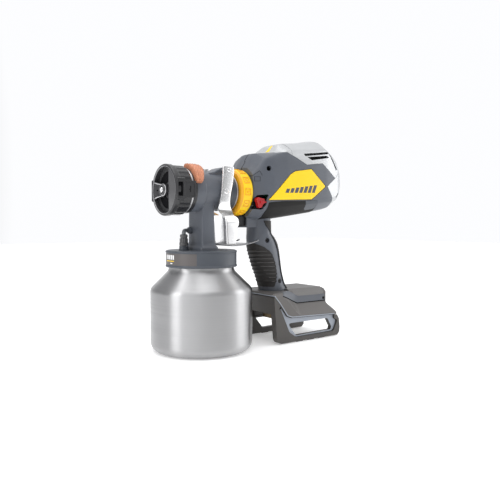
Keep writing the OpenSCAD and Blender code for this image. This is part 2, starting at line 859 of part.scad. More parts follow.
module foot_pads() {
    color(rubber) for (s = [-1, 1], x = [128, 148, 168])
        block([x - 6, s * (foot_w - 4.5) - 2.8, 0], [x + 6, s * (foot_w - 4.5) + 2.8, 2.6]);
}

module dock_rails() {
    color(graphite) for (s = [-1, 1]) prism_x([[s * 31.8, dock_z], [s * 31.8, 25],
        [s * 26, 25], [s * 26, 27.4], [s * 29.4, 27.4], [s * 29.4, dock_z]], 106, 182);
}

module dock_terminals() {
    color(brass) union() {
        block([108, -14, 28], [112, 14, dock_z]);
        for (y = [-10, -3.5, 3.5, 10]) block([112, y - 0.5, 28.4], [126, y + 0.5, 32.6]);
    }
}

// ---- Fasteners ----

module screw_y(x, z) {
    difference() {
        union() {
            rod_y(x, z, -screw_seat_y - 2.8, -screw_seat_y, 3);
            rod_y(x, z, -screw_seat_y, 10.6, 1.5);
        }
        rod_y(x, z, -screw_seat_y - 3, -screw_seat_y - 1.3, 1.3);
    }
}

module housing_screws() {
    color(steel) for (p = housing_screw_places) screw_y(p[0], p[1]);
}

module foot_screws() {
    color(steel) for (s = [-1, 1]) translate([foot_screw_x, s * foot_screw_y, 15.4]) {
        cylinder(r = 2.5, h = 2.6);
        cylinder(r = 1.4, h = 17);
    }
}

cup();
container_lid();
lid_seal();
suction_tube();
suction_strainer();
vent_valve();
vent_membrane();
vent_cap();
vent_hose();
head_body();
nozzle_tip();
nozzle_gasket();
air_cap();
union_nut();
width_ring();
needle();
needle_crosspin();
needle_packing();
needle_spring();
trigger();
trigger_pin();
coupling_sleeve();
coupling_oring();
lock_ring();
air_outlet();
shell_left();
shell_right();
top_cover();
rear_cap();
label_left();
label_right();
belly_guard();
grip_pad();
grip_spine();
power_dial();
dial_potentiometer();
switch_body();
switch_plunger();
switch_spring();
motor_can();
motor_stator();
motor_rotor();
motor_shaft();
motor_bearings();
motor_mounts();
impeller();
turbine_housing();
air_filter();
control_board();
foot_cover();
foot_guard();
foot_pads();
dock_rails();
dock_terminals();
housing_screws();
foot_screws();
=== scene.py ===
"""Looks of the cordless turbine paint sprayer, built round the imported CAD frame.

Lengths in tables are millimetres, as in the CAD source; MM turns them into the scene's metres.
"""
import json
import math

import bmesh
import bpy
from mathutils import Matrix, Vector


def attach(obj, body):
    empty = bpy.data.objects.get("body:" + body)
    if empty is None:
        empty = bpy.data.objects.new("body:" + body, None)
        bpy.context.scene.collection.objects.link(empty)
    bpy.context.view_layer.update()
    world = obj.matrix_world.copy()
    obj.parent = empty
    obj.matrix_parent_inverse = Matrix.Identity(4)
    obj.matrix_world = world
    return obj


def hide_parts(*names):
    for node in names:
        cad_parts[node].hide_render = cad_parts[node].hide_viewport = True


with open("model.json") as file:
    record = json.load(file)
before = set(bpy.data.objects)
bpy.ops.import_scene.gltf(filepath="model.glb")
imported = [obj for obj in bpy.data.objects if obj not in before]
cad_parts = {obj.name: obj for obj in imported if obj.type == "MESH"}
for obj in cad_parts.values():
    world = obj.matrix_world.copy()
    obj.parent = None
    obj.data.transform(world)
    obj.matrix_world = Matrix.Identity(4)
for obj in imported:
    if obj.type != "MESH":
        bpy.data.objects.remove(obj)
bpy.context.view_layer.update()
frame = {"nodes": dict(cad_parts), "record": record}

MM = 0.001
AXIS_Z = 196
scene = bpy.context.scene

# ------ Tables in the CAD's frame

# As in the CAD, but at x 87 the top's half width is 2 mm less.
# x, top z, half width, shoulder z, half width, lower z, half width, bottom z, half width
HOUSING = [
    (60, 228, 13, 218, 27, 176, 27, 165, 14),
    (66, 237, 13.5, 226, 31, 177, 31, 163, 15),
    (73, 247, 14, 238, 35, 179, 35, 162, 16),
    (87, 248.4, 16.5, 244, 38, 181, 38.5, 162, 17),
    (97, 249.4, 18, 246.4, 38.4, 182, 39.4, 163, 18),
    (109, 261.3, 17, 249, 39, 183, 40.5, 164.5, 19),
    (145, 266.5, 17, 252.5, 39, 186, 41.5, 169.5, 21),
    (175, 271, 17, 255.5, 38, 188, 40.5, 174, 22),
    (192, 263.5, 17, 248, 36, 190, 38, 177.5, 22),
    (202, 254, 17, 240, 34.5, 193, 36, 183.5, 21),
    (206, 247, 16, 234, 33, 197, 34.5, 191, 21),
    (211, 238, 15, 228, 30, 205, 31, 201, 18),
    (214, 232, 14, 226, 27, 213, 27, 209, 15),
]
# z, centre x, half depth, half width
GRIP = [
    (67, 114, 20, 20),
    (77, 109.7, 17.7, 18.2),
    (88, 105.9, 18, 18),
    (99, 102.3, 19.3, 18.2),
    (110, 99.4, 20.5, 18.5),
    (121, 96.7, 21.3, 18.5),
    (129, 94.6, 21.1, 18.5),
    (137, 91.8, 18.6, 18.4),
    (145, 89, 14.7, 18),
    (158, 89, 14.6, 17.5),
    (170, 90, 17, 17),
]
COVER = [(97, 247.7), (108, 248.5), (140, 234), (153, 236), (169, 237.7), (195.6, 219.3),
         (204.6, 227.3), (225, 240), (225, 290), (97, 290)]
REAR = [(204.6, 227.3), (195.6, 219.3), (177.8, 207.3), (189.5, 192), (191.7, 184), (193, 165),
        (230, 165), (230, 243.2), (225, 240)]
# What the silver covers take out of the shells
COVERED = COVER[:6] + REAR[2:5] + [(193, 150), (240, 150), (240, 300), (97, 300)]
LABEL = [(76, 185.4), (111, 220.7), (119, 225.2), (147.5, 229.6), (174.8, 207), (147.8, 188)]
BELLY = [(78, 150), (78, 183.5), (100, 185.5), (160.6, 187.6), (163.5, 177.6), (165, 150)]
DIAL_RECESS = [(59, 174.8), (72.5, 174.2), (78.2, 193.5), (63.7, 192.2)]
SCREWS = [(78, 226), (90, 134.5), (111.5, 80)]
FOOT_TOP = [(82.6, 64), (92.5, 53), (105, 36.2), (113, 33.4), (190.6, 30.6), (196, 30.4), (193, 36),
    (184, 46), (184, 66), (181, 68), (138, 68), (136, 67), (84.5, 67)]
GUARD = [(82.6, 63.6), (92.5, 52.6), (105, 35.8), (113, 33), (190.6, 30.2), (196, 29.8),
         (200, 24), (201.4, 12), (200.8, 5), (197, 1.2), (95, 1.2), (90, 3), (87.7, 7)]
GUARD_WINDOW = [(107.5, 26), (180, 25.8), (187.6, 13.6), (186, 9.4), (122, 8.6)]
GUARD_RECESS = [(92.6, 51), (94.4, 44.5), (108.6, 14.6), (120.7, 6.6), (189.8, 7), (197, 22),
    (190.6, 25), (190.6, 36), (105, 40)]
PAD_AREA = [(60, 131), (74, 131), (86, 125.5), (96.5, 117.5), (103, 104), (105.4, 92), (105, 80),
    (102.5, 72.5), (60, 72.5)]
SPINE_AREA = [(84.5, 160), (88, 153), (97.5, 145), (103, 135), (110.5, 120), (114.5, 99),
    (118.7, 79.5), (124, 68.4), (150, 68.4), (150, 160)]
HOSE = [(-22, 5, 143.4), (-22, 5, 144.8), (-21.5, 5.5, 146.3), (-20.3, 6.7, 147.4),
    (-18.6, 8.5, 147.9), (-16.6, 10.3, 148), (-14.6, 11.3, 148), (-13, 11.5, 148),
    (-9.5, 11.5, 148)]
BAND_AREA = [(98, 62.8), (112, 57.6), (130.5, 50.4), (182.4, 50), (181, 59.4), (131.6, 60.4),
    (124.5, 63), (119.5, 66.8), (117, 70), (104, 70)]
GROOVE_AREA = [(98, 62.1), (112, 56.8), (130.5, 49.5), (183, 49.1), (183, 50.4), (130.7, 50.8),
    (112.3, 58), (98.2, 63.2)]
# Outline of the painted highlight line along the foot cover's lower edge
EDGE_HIGHLIGHT_AREA = [(82.7, 64.2), (92.5, 53.2), (105, 36.4), (113, 33.6), (190.6, 30.8), (190.7, 32),
    (113.4, 34.8), (105.8, 37.4), (93.4, 54), (84, 64.4)]
FOOT_HALF = 41.5
PAD_Y = FOOT_HALF - 4.5
PADS_X = (128, 148, 168)
GUARD_HOLE = (93.8, 47.2)
BOX_HOLE = (179.5, 53.5)
SIDES = (-1, 1)
WALL = 2.4
RIB_PITCH = 5.07
# A y beyond the sprayer's sides, for outlines that act on its whole width
FAR = 60
LID_R = 44.1
DIAL = (67.6, 183.5)

# ------ Camera, floor and light

CAMERA_PLACE = Vector((-0.359, -0.5803, 0.1558))
CAMERA_TURN = math.radians(36.8)
CAMERA_DIP = math.radians(2.7)


def set_up(thing, place, ahead):
    """Puts a camera or a light in place, looking ahead."""
    thing.location = place
    thing.rotation_mode = "QUATERNION"
    thing.rotation_quaternion = ahead.to_track_quat("-Z", "Y")
    scene.collection.objects.link(thing)


def make_camera():
    data = bpy.data.cameras.new("camera")
    data.lens = 39.57
    data.sensor_width = 36
    data.clip_start = 0.01
    data.clip_end = 50
    camera = bpy.data.objects.new("camera", data)
    level = math.cos(CAMERA_DIP)
    ahead = Vector((math.sin(CAMERA_TURN) * level, math.cos(CAMERA_TURN) * level,
        -math.sin(CAMERA_DIP)))
    set_up(camera, CAMERA_PLACE, ahead)
    scene.camera = camera


def area_light(name, place, aim, size, power):
    data = bpy.data.lights.new(name, "AREA")
    data.shape = "RECTANGLE"
    data.size = size[0]
    data.size_y = size[1]
    data.energy = power
    set_up(bpy.data.objects.new(name, data), place, Vector(aim) - Vector(place))


def ramp(tree, source, low, low_colour, high, high_colour):
    """Passes a value through a colour ramp between two stops."""
    node = tree.nodes.new("ShaderNodeValToRGB")
    for stop, place, colour in zip(node.color_ramp.elements, (low, high),
            (low_colour, high_colour)):
        stop.position = place
        stop.color = colour
    tree.links.new(source, node.inputs["Fac"])
    return node.outputs["Color"]


def facing_ramp(tree, direction, low, high, near, far):
    """Far below the low dot product with the direction, near above the high one."""
    place = tree.nodes.new("ShaderNodeTexCoord")
    facing = tree.nodes.new("ShaderNodeVectorMath")
    facing.operation = "DOT_PRODUCT"
    facing.inputs[1].default_value = direction
    tree.links.new(place.outputs["Generated"], facing.inputs[0])
    return ramp(tree, facing.outputs["Value"], low, (*far, 1), high, (*near, 1))


def make_world():
    """A pale studio, darker in front of the object and to its far left."""
    world = bpy.data.worlds.new("studio")
    scene.world = world
    world.use_nodes = True
    tree = world.node_tree
    background = tree.nodes["Background"]
    background.inputs["Strength"].default_value = 1.0
    front = facing_ramp(tree, (-0.031, -0.999, 0.03), 0.5, 0.9, (0.22, 0.222, 0.226),
        (0.98, 0.985, 1.0))
    side = facing_ramp(tree, (-0.684, 0.73, 0.05), 0.55, 0.82, (0.3, 0.3, 0.305), (1, 1, 1))
    both = tree.nodes.new("ShaderNodeMix")
    both.data_type = "RGBA"
    both.blend_type = "MULTIPLY"
    both.inputs["Factor"].default_value = 1.0
    tree.links.new(front, both.inputs["A"])
    tree.links.new(side, both.inputs["B"])
    tree.links.new(both.outputs["Result"], background.inputs["Color"])


# ------ Materials


def shade(colour, amount):
    return tuple(min(1.0, c * amount) for c in colour) + (1.0,)


def put(node, values):
    """Sets a node's inputs by their names."""
    for name, value in values.items():
        node.inputs[name].default_value = value


def noise(tree, scale, stretch=(1, 1, 1), detail=3.0):
    place = tree.nodes.new("ShaderNodeTexCoord")
    mapping = tree.nodes.new("ShaderNodeMapping")
    mapping.inputs["Scale"].default_value = stretch
    texture = tree.nodes.new("ShaderNodeTexNoise")
    put(texture, {"Scale": scale, "Detail": detail, "Roughness": 0.5})
    tree.links.new(place.outputs["Object"], mapping.inputs["Vector"])
    tree.links.new(mapping.outputs["Vector"], texture.inputs["Vector"])
    return texture.outputs["Fac"]


MATERIALS = {}


def finish(name, colour, rough, grain=1400, bump=0.12, depth=0.05, metallic=0.0, vary=0.05,
        rough_vary=0.06, coat=0.0, stretch=(1, 1, 1), specular=0.5, cloud=22, glow=0.0,
        turned_gloss=0.0):
    """A procedural surface: cloudy colour, uneven gloss and a fine moulded or brushed grain."""
    material = bpy.data.materials.new(name)
    material.use_nodes = True
    tree = material.node_tree
    shader = tree.nodes["Principled BSDF"]
    put(shader, {"Metallic": metallic, "Specular IOR Level": specular, "Coat Weight": coat,
        "Coat Roughness": 0.12, "Emission Color": (*colour, 1), "Emission Strength": glow})
    if turned_gloss:
        put(shader, {"Anisotropic": turned_gloss, "Anisotropic Rotation": 0.25})
        tangent = tree.nodes.new("ShaderNodeTangent")
        tangent.direction_type = "RADIAL"
        tangent.axis = "Z"
        tree.links.new(tangent.outputs["Tangent"], shader.inputs["Tangent"])
    clouds = ramp(tree, noise(tree, cloud, detail=4.0), 0.32, shade(colour, 1 - vary), 0.68,
        shade(colour, 1 + vary))
    tree.links.new(clouds, shader.inputs["Base Color"])
    fine = noise(tree, grain, stretch)
    level = tree.nodes.new("ShaderNodeMapRange")
    put(level, {"From Min": 0.3, "From Max": 0.7, "To Min": max(0.02, rough - rough_vary),
        "To Max": min(1.0, rough + rough_vary)})
    tree.links.new(fine, level.inputs["Value"])
    tree.links.new(level.outputs["Result"], shader.inputs["Roughness"])
    relief = tree.nodes.new("ShaderNodeBump")
    put(relief, {"Strength": bump, "Distance": depth * MM})
    tree.links.new(fine, relief.inputs["Height"])
    tree.links.new(relief.outputs["Normal"], shader.inputs["Normal"])
    MATERIALS[name] = material


def make_materials():
    finish("brushed_cup", (0.45, 0.45, 0.455), 0.39, 1.0, 0.2, 0.02, metallic=1.0, vary=0.015,
        rough_vary=0.08, stretch=(4, 4, 1300), turned_gloss=0.95)
    finish("lid_plastic", (0.062, 0.071, 0.086), 0.42, 1800)
    finish("slate_plastic", (0.094, 0.104, 0.124), 0.4, 1800)
    finish("foot_plastic", (0.115, 0.108, 0.103), 0.46, 1600, 0.2)
    finish("black_plastic", (0.018, 0.018, 0.02), 0.3, 1700, coat=0.2, specular=0.4)
    finish("seal_rubber", (0.03, 0.03, 0.03), 0.6, 900)
    finish("grip_rubber", (0.026, 0.024, 0.023), 0.62, 1100, 0.3, 0.08, specular=0.3)
    finish("steel", (0.6, 0.6, 0.61), 0.28, 300, metallic=1.0, stretch=(9, 1, 1))
    # trigger_chrome glows faintly (glow 0.08): painted light on the trigger, its studs, the nozzle
    # and the lower horn edge strip.
    finish("trigger_chrome", (0.95, 0.95, 0.955), 0.24, 500, 0.05, 0.03, metallic=1.0, vary=0.015,
        rough_vary=0.04, glow=0.08)
    finish("hose_plastic", (0.16, 0.17, 0.18), 0.3, 900, coat=0.3)
    finish("copper_plastic", (0.55, 0.22, 0.12), 0.45, 1500, 0.3, metallic=0.25, vary=0.16,
        cloud=160)
    finish("yellow_plastic", (1.0, 0.66, 0.012), 0.4, 1500, 0.06, coat=0.05, vary=0.025,
        specular=0.35)
    finish("red_plastic", (0.42, 0.01, 0.015), 0.3, 1500, coat=0.25)
    finish("silver_paint", (0.52, 0.53, 0.54), 0.36, 3200, 0.1, 0.03, metallic=0.5, vary=0.02,
        coat=0.15)
    finish("winding_copper", (0.6, 0.28, 0.13), 0.35, 900, metallic=1.0, stretch=(6, 1, 1))
    finish("rotor_iron", (0.2, 0.2, 0.2), 0.45, 700, metallic=1.0, stretch=(12, 1, 1))
    finish("filter_foam", (0.05, 0.05, 0.05), 0.95, 700, 0.9, 0.5)
    finish("board_green", (0.02, 0.12, 0.05), 0.4, 500, coat=0.3)
    finish("contact_brass", (0.12, 0.09, 0.055), 0.3, 600, metallic=1.0)
    # seam is near-black for real seams, grooves and moulded marks, and also painted shade in holes,
    # pockets and recesses.
    finish("seam_and_painted_shade", (0.004, 0.004, 0.005), 0.8, 900, specular=0.1)
    finish("lid_label", (0.1, 0.09, 0.088), 0.38, 900, 0.04)
    finish("print_white", (0.85, 0.85, 0.85), 0.5, 900, 0.02)
    finish("print_dark", (0.07, 0.075, 0.1), 0.5, 900, 0.02)
    # A darker copy of the foot plastic for the guard: painted shade.
    finish("foot_painted_shade", (0.062, 0.057, 0.053), 0.45, 1600, 0.2)
    finish("leaf_steel", (0.32, 0.32, 0.33), 0.3, 500, metallic=1.0)
    finish("sign_grey", (0.03, 0.033, 0.04), 0.5, 1800)
    finish("deep_rubber", (0.011, 0.0105, 0.01), 0.6, 1100, 0.3, specular=0.22)
    # A lighter rubber grey for the rib crests: painted highlight.
    finish("rib_painted_highlight", (0.085, 0.082, 0.08), 0.5, 1100, 0.3)
    # A light rubber grey for the box pad: painted light on its lit top.
    finish("pad_painted_light_grey", (0.17, 0.164, 0.16), 0.5, 1600, 0.2)
    # Light slate for the window frames, and for a painted highlight line along the foot cover's
    # edge.
    finish("slate_light", (0.3, 0.33, 0.38), 0.36, 1800, coat=0.15)
    finish("dark_steel", (0.05, 0.05, 0.052), 0.4, 500, metallic=0.8)
    finish("cap_grey", (0.032, 0.032, 0.034), 0.33, 1700, coat=0.2, specular=0.4)
    # A darker orange yellow on the lock ring: painted shade.
    finish("yellow_painted_shade", (0.9, 0.43, 0.012), 0.38, 1500, 0.06)
    # A lighter grey for the air cap's rim line: painted highlight.
    finish("rim_painted_highlight", (0.3, 0.3, 0.31), 0.3, 900, metallic=0.4)
    finish("mid_grey", (0.085, 0.085, 0.088), 0.34, 1700, coat=0.2)
    # A light grey for thin rings and edge strips: painted highlight lines.
    finish("painted_highlight_grey", (0.5, 0.5, 0.51), 0.35, 900, metallic=0.6)


# ------ Mesh tools


def make_piece(name, points, faces):
    """A mesh object from millimetre points, with its normals outwards."""
    mesh = bpy.data.meshes.new(name)
    mesh.from_pydata([(p[0] * MM, p[1] * MM, p[2] * MM) for p in points], [], faces)
    work = bmesh.new()
    work.from_mesh(mesh)
    bmesh.ops.recalc_face_normals(work, faces=work.faces)
    work.to_mesh(mesh)
    work.free()
    piece = bpy.data.objects.new(name, mesh)
    scene.collection.objects.link(piece)
    return piece


def loft(name, rings):
    """A closed solid through rings of equal length."""
    count = len(rings[0])
    points = [p for ring in rings for p in ring]
    faces = [tuple(range(count))[::-1]]
    for i in range(len(rings) - 1):
        for j in range(count):
            k = (j + 1) % count
            faces.append((i * count + j, i * count + k, (i + 1) * count + k, (i + 1) * count + j))
    faces.append(tuple((len(rings) - 1) * count + j for j in range(count)))
    return make_piece(name, points, faces)


def prism_y(name, outline, low, high):
    return loft(name, [[(x, y, z) for x, z in outline] for y in (low, high)])


def prism_x(name, outline, low, high):
    return loft(name, [[(x, y, z) for y, z in outline] for x in (low, high)])


def prism_z(name, outline, low, high):
    return loft(name, [[(x, y, z) for x, y in outline] for z in (low, high)])


def block(name, low, high):
    return prism_z(name, [(low[0], low[1]), (high[0], low[1]), (high[0], high[1]),
        (low[0], high[1])], low[2], high[2])


def side_block(name, side, xs, ys, zs):
    """A block on the left side (-1) or the right side (1), with y given as distances."""
    low, high = sorted((side * ys[0], side * ys[1]))
    return block(name, (xs[0], low, zs[0]), (xs[1], high, zs[1]))


def side_prism(name, side, outline, near, far):
    return prism_y(name, outline, *sorted((side * near, side * far)))


def circle(radius, count=48, centre=(0, 0), start=0, stop=360, closed=True):
    steps = count if closed else count - 1
    return [(centre[0] + radius * math.cos(math.radians(start + (stop - start) * i / steps)),
        centre[1] + radius * math.sin(math.radians(start + (stop - start) * i / steps)))
        for i in range(count)]


def fillet(points, radius, steps=4):
    """The outline with its corners rounded; radius is one number or one for each point."""
    result = []
    count = len(points)
    for i, p in enumerate(points):
        r = radius[i] if isinstance(radius, (list, tuple)) else radius
        here = Vector(p[:2])
        if r == 0:
            result.append(tuple(here))
            continue
        back = Vector(points[i - 1][:2]) - here
        ahead = Vector(points[(i + 1) % count][:2]) - here
        if back.length < 1e-6 or ahead.length < 1e-6:
            result.append(tuple(here))
            continue
        angle = back.angle(ahead)
        reach = min(r / max(math.tan(angle / 2), 1e-3), 0.48 * back.length, 0.48 * ahead.length)
        first = here + back.normalized() * reach
        last = here + ahead.normalized() * reach
        for k in range(steps + 1):
            t = k / steps
            result.append(tuple(first * (1 - t) ** 2 + here * 2 * t * (1 - t) + last * t * t))
    return result


def turned(name, profile, axis="x", steps=96, ripple=None, centre=None):
    """A closed profile of (along, radius) turned about the gun's axis or about Z."""
    centre = centre or ((0, AXIS_Z) if axis == "x" else (0, 0))
    rings = []
    for i in range(steps):
        a = math.radians(360 * i / steps)
        ring = []
        for along, r in profile:
            if ripple:
                r = ripple(along, r, a)
            u = centre[0] + r * math.cos(a)
            v = centre[1] + r * math.sin(a)
            ring.append((along, u, v) if axis == "x" else (u, v, along))
        rings.append(ring)
    count = len(profile)
    points = [p for ring in rings for p in ring]
    faces = []
    for i in range(steps):
        n = (i + 1) % steps
        for j in range(count):
            k = (j + 1) % count
            faces.append((i * count + j, i * count + k, n * count + k, n * count + j))
    piece = make_piece(name, points, faces)
    work = bmesh.new()
    work.from_mesh(piece.data)
    bmesh.ops.remove_doubles(work, verts=work.verts, dist=0.002 * MM)
    bmesh.ops.recalc_face_normals(work, faces=work.faces)
    work.to_mesh(piece.data)
    work.free()
    return piece


def rod_x(name, x0, x1, radius, z=AXIS_Z, y=0, steps=64):
    return prism_x(name, circle(radius, steps, (y, z)), x0, x1)


def rod_y(name, x, z, low, high, radius, steps=48):
    return prism_y(name, circle(radius, steps, (x, z)), low, high)


def apply_modifiers(piece):
    bpy.context.view_layer.update()
    graph = bpy.context.evaluated_depsgraph_get()
    mesh = bpy.data.meshes.new_from_object(piece.evaluated_get(graph))
    old = piece.data
    piece.modifiers.clear()
    piece.data = mesh
    bpy.data.meshes.remove(old)
    return piece


def soften(piece, width, segments, angle=30):
    """A bevel on the edges sharper than the angle."""
    modifier = piece.modifiers.new("edges", "BEVEL")
    modifier.width = width * MM
    modifier.segments = segments
    modifier.limit_method = "ANGLE"
    modifier.angle_limit = math.radians(angle)


def combine(piece, operation, *tools):
    for tool in tools:
        modifier = piece.modifiers.new("combine", "BOOLEAN")
        modifier.operation = operation
        modifier.solver = "EXACT"
        modifier.object = tool
    apply_modifiers(piece)
    for tool in tools:
        bpy.data.objects.remove(tool)
    return piece


def cut(piece, *tools):
    return combine(piece, "DIFFERENCE", *tools)


def join(piece, *tools):
    return combine(piece, "UNION", *tools)


def common(piece, *tools):
    return combine(piece, "INTERSECT", *tools)


def through(outline):
    """A bar through the whole width, with its outline drawn from the side."""
    return prism_y("through", outline, -FAR, FAR)


def within(piece, outline, low=-FAR, high=FAR):
    """Keeps what lies inside an outline drawn from the side."""
    return common(piece, prism_y("region", outline, low, high))


def gather(piece, *others, name=None):
    """Adds the others' meshes to the piece without merging their surfaces."""
    work = bmesh.new()
    for part in (piece, *others):
        work.from_mesh(part.data)
    work.to_mesh(piece.data)
    work.free()
    for part in others:
        bpy.data.objects.remove(part)
    piece.name = name or piece.name
    return piece


def clean(piece, distance=0.04, angle=0.6):
    work = bmesh.new()
    work.from_mesh(piece.data)
    bmesh.ops.remove_doubles(work, verts=work.verts, dist=distance * MM)
    bmesh.ops.dissolve_limit(work, angle_limit=math.radians(angle), verts=work.verts,
        edges=work.edges)
    work.to_mesh(piece.data)
    work.free()
    return piece


def dress(piece, slot, body, *nodes, bevel=0.0, steps=2, sharp=32, material=None):
    """Gives the piece its soft edges, shading, material and place in the frame."""
    mesh = piece.data
    mesh.shade_smooth()
    if bevel:
        soften(piece, bevel, steps, sharp)
        weigh = piece.modifiers.new("shading", "WEIGHTED_NORMAL")
        weigh.keep_sharp = True
    else:
        mesh.set_sharp_from_angle(angle=math.radians(sharp))
    mesh.materials.clear()
    mesh.materials.append(MATERIALS[material or slot])
    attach(piece, body)
    if nodes:
        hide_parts(*nodes)
    return piece


def turned_line(name, points, radius, steps, slot, body, material):
    """A thin turned ring that shows as a line round another piece; several serve as painted
    highlight or painted shade lines.
    """
    piece = turned(name, fillet(points, radius, 3), "x", steps)
    dress(piece, slot, body, material=material)


# ------ Smooth lofts of the CAD sections


def smooth_rows(rows, places):
    """Values between the rows at the given first-column places, on monotone cubic curves."""
    xs = [r[0] for r in rows]
    result = []
    slopes = []
    for column in range(1, len(rows[0])):
        ys = [r[column] for r in rows]
        steps = [(ys[i + 1] - ys[i]) / (xs[i + 1] - xs[i]) for i in range(len(xs) - 1)]
        inner = []
        for i in range(1, len(xs) - 1):
            a, b = steps[i - 1], steps[i]
            inner.append(0 if a * b <= 0 else 2 * a * b / (a + b))
        slopes.append([steps[0]] + inner + [steps[-1]])
    for x in places:
        i = max(k for k in range(len(xs) - 1) if xs[k] <= x + 1e-9)
        h = xs[i + 1] - xs[i]
        t = (x - xs[i]) / h
        row = [x]
        for column in range(1, len(rows[0])):
            y0, y1 = rows[i][column], rows[i + 1][column]
            m0, m1 = slopes[column - 1][i] * h, slopes[column - 1][i + 1] * h
            row.append((2 * t ** 3 - 3 * t ** 2 + 1) * y0 + (t ** 3 - 2 * t ** 2 + t) * m0
                + (3 * t ** 2 - 2 * t ** 3) * y1 + (t ** 3 - t ** 2) * m1)
        result.append(row)
    return result


def housing_ring(s, d, reach=0.25, steps=5):
    """One housing section as a ring with rounded corners, moved outwards by d."""
    half = [(s[2] + 0.4 * d, s[1] + d), (s[4] + d, s[3] + 0.5 * d),
            (s[6] + d, s[5] - 0.5 * d), (s[8] + 0.4 * d, s[7] - d)]
    base = [(-y, z) for y, z in half] + half[::-1]
    ring = []
    for i, corner in enumerate(base):
        here = Vector(corner)
        first = here.lerp(Vector(base[i - 1]), reach)
        last = here.lerp(Vector(base[(i + 1) % len(base)]), reach)
        for k in range(steps + 1):
            t = k / steps
            p = first * (1 - t) ** 2 + here * 2 * t * (1 - t) + last * t * t
            ring.append((s[0], p[0], p[1]))
    return ring


def housing(name, d):
    """The housing moved outwards by d, with sections about 4 mm apart."""
    places = []
    for a, b in zip(HOUSING, HOUSING[1:]):
        parts = max(1, round((b[0] - a[0]) / 4.0))
        places += [a[0] + (b[0] - a[0]) * k / parts for k in range(parts)]
    places.append(HOUSING[-1][0])
    rows = smooth_rows(HOUSING, places)
    rows[0][0] -= d
    rows[-1][0] += d
    return loft(name, [housing_ring(r, d) for r in rows])


def grip(name, d, spacing=3.0, sides=56, relief=None):
    low, high = GRIP[0][0], GRIP[-1][0]
    count = round((high - low) / spacing)
    rows = smooth_rows(GRIP, [low + (high - low) * k / count for k in range(count + 1)])
    rings = []
    for z, x, depth, width in rows:
        ring = []
        for j in range(sides):
            a = 2 * math.pi * j / sides
            out = d + (relief(z, a) if relief else 0)
            ring.append((x + (depth + out) * math.cos(a), (width + out) * math.sin(a), z))
        rings.append(ring)
    return loft(name, rings)


def grow(outline, d):
    """The outline moved outwards by d, or inwards where d is negative."""
    area = sum(outline[i - 1][0] * p[1] - p[0] * outline[i - 1][1] for i, p in enumerate(outline))
    sign = 1 if area > 0 else -1
    result = []
    for i, p in enumerate(outline):
        a = (Vector(p) - Vector(outline[i - 1])).normalized()
        b = (Vector(outline[(i + 1) % len(outline)]) - Vector(p)).normalized()
        na = Vector((a[1], -a[0])) * sign
        nb = Vector((b[1], -b[0])) * sign
        mid = (na + nb).normalized()
        result.append(tuple(Vector(p) + mid * d / max(0.3, mid.dot(na))))
    return result


# ------ Cup and lid


def build_cup():
    r, wall_h, neck, base = 63, 72.8, 40.4, 12.6
    shoulder, curve, t = 10, 8, 1.0
    zc = r - shoulder + wall_h + (shoulder + curve) * math.sqrt(2) - neck - curve
    outer = [(0, 2.2), (44, 2.2), (46.5, 0.9), (48.5, 0), (r - base, 0)]
    outer += circle(base, 10, (r - base, base), -80, 0, False)
    outer += [(r, 20), (r, 40), (r, 60)]
    outer += circle(shoulder, 10, (r - shoulder, wall_h), 0, 45, False)
    outer += circle(curve, 10, (neck + curve, zc), 225, 180, False)
    outer += [(neck, 105.4), (neck + 0.6, 106), (neck + 0.6, 107.6), (neck, 108.2),
              (neck, 112), (neck + 0.5, 112.6), (neck + 0.5, 113.4), (neck, 114)]
    inner = [(neck - t, 114), (neck - t, zc)]
    inner += circle(curve + t, 10, (neck + curve, zc), 180, 225, False)
    inner += circle(shoulder - t, 10, (r - shoulder, wall_h), 45, 0, False)
    inner += circle(base - t, 10, (r - base, base), 0, -80, False)
    inner += [(48, 1.2), (44, 3.2), (0, 3.2)]
    piece = turned("paint_cup", [(z, p) for p, z in outer + inner], "z", 128)
    dress(piece, "brushed_cup", "paint_cup", "cup", sharp=40)


def bearing(degrees, radius):
    """A point round the cup's axis: 0 faces the left side and 90 the spray direction."""
    a = math.radians(degrees)
    return (-radius * math.sin(a), -radius * math.cos(a))


def lid_patch(name, start, stop, low, high, r0, r1, material, slot):
    steps = max(3, int(abs(stop - start) / 2))
    rings = []
    for i in range(steps + 1):
        b = start + (stop - start) * i / steps
        inner, outer = bearing(b, r0), bearing(b, r1)
        rings.append([(*inner, low), (*outer, low), (*outer, high), (*inner, high)])
    piece = loft(name, rings)
    return dress(piece, slot, "gun", bevel=0.1, steps=1, material=material)


def build_lid():
    r = LID_R
    profile = fillet([(103.7, 41.6), (103.7, r - 0.2), (105.6, r), (106.4, r - 0.7),
        (121.2, r - 0.7), (121.8, r), (123.2, r - 0.2), (124, r - 2), (124, 4.2), (116.6, 4.2),
        (116.6, 41.6)], [0.3, 0.5, 0.3, 0.3, 0.3, 0.3, 0.8, 0.8, 0, 0, 0], 3)
    piece = turned("lid_body", profile, "z", 128)
    rib = [loft(f"lid_rib_{i}", [[(*bearing(b + s, LID_R - 1.5), z) for s in (-1.1, 1.1)]
        + [(*bearing(b + s, LID_R - 0.02), z) for s in (0.8, -0.8)] for z in (104.2, 122.4)])
        for i, b in enumerate((-44, 136))]
    gather(piece, *rib)
    dress(piece, "lid_plastic", "gun", "container_lid", sharp=35)
    base = LID_R - 0.72
    lid_patch("lid_label", 39, 141, 106.9, 120.8, base - 0.3, base + 0.12, "lid_label",
              "lid_plastic")
    for i in range(5):
        lid_patch(f"lid_mark_{i}", 80 + 5.2 * i, 83.4 + 5.2 * i, 113.6, 119, base, base + 0.2,
                  "print_white", "silver_paint")
    lid_patch("lid_mark_line", 80, 104, 111.3, 112.3, base, base + 0.2, "yellow_plastic",
              "yellow_plastic")
    lid_patch("lid_mark_dash", 84, 90, 108.4, 109.6, base, base + 0.2, "print_white",
              "silver_paint")


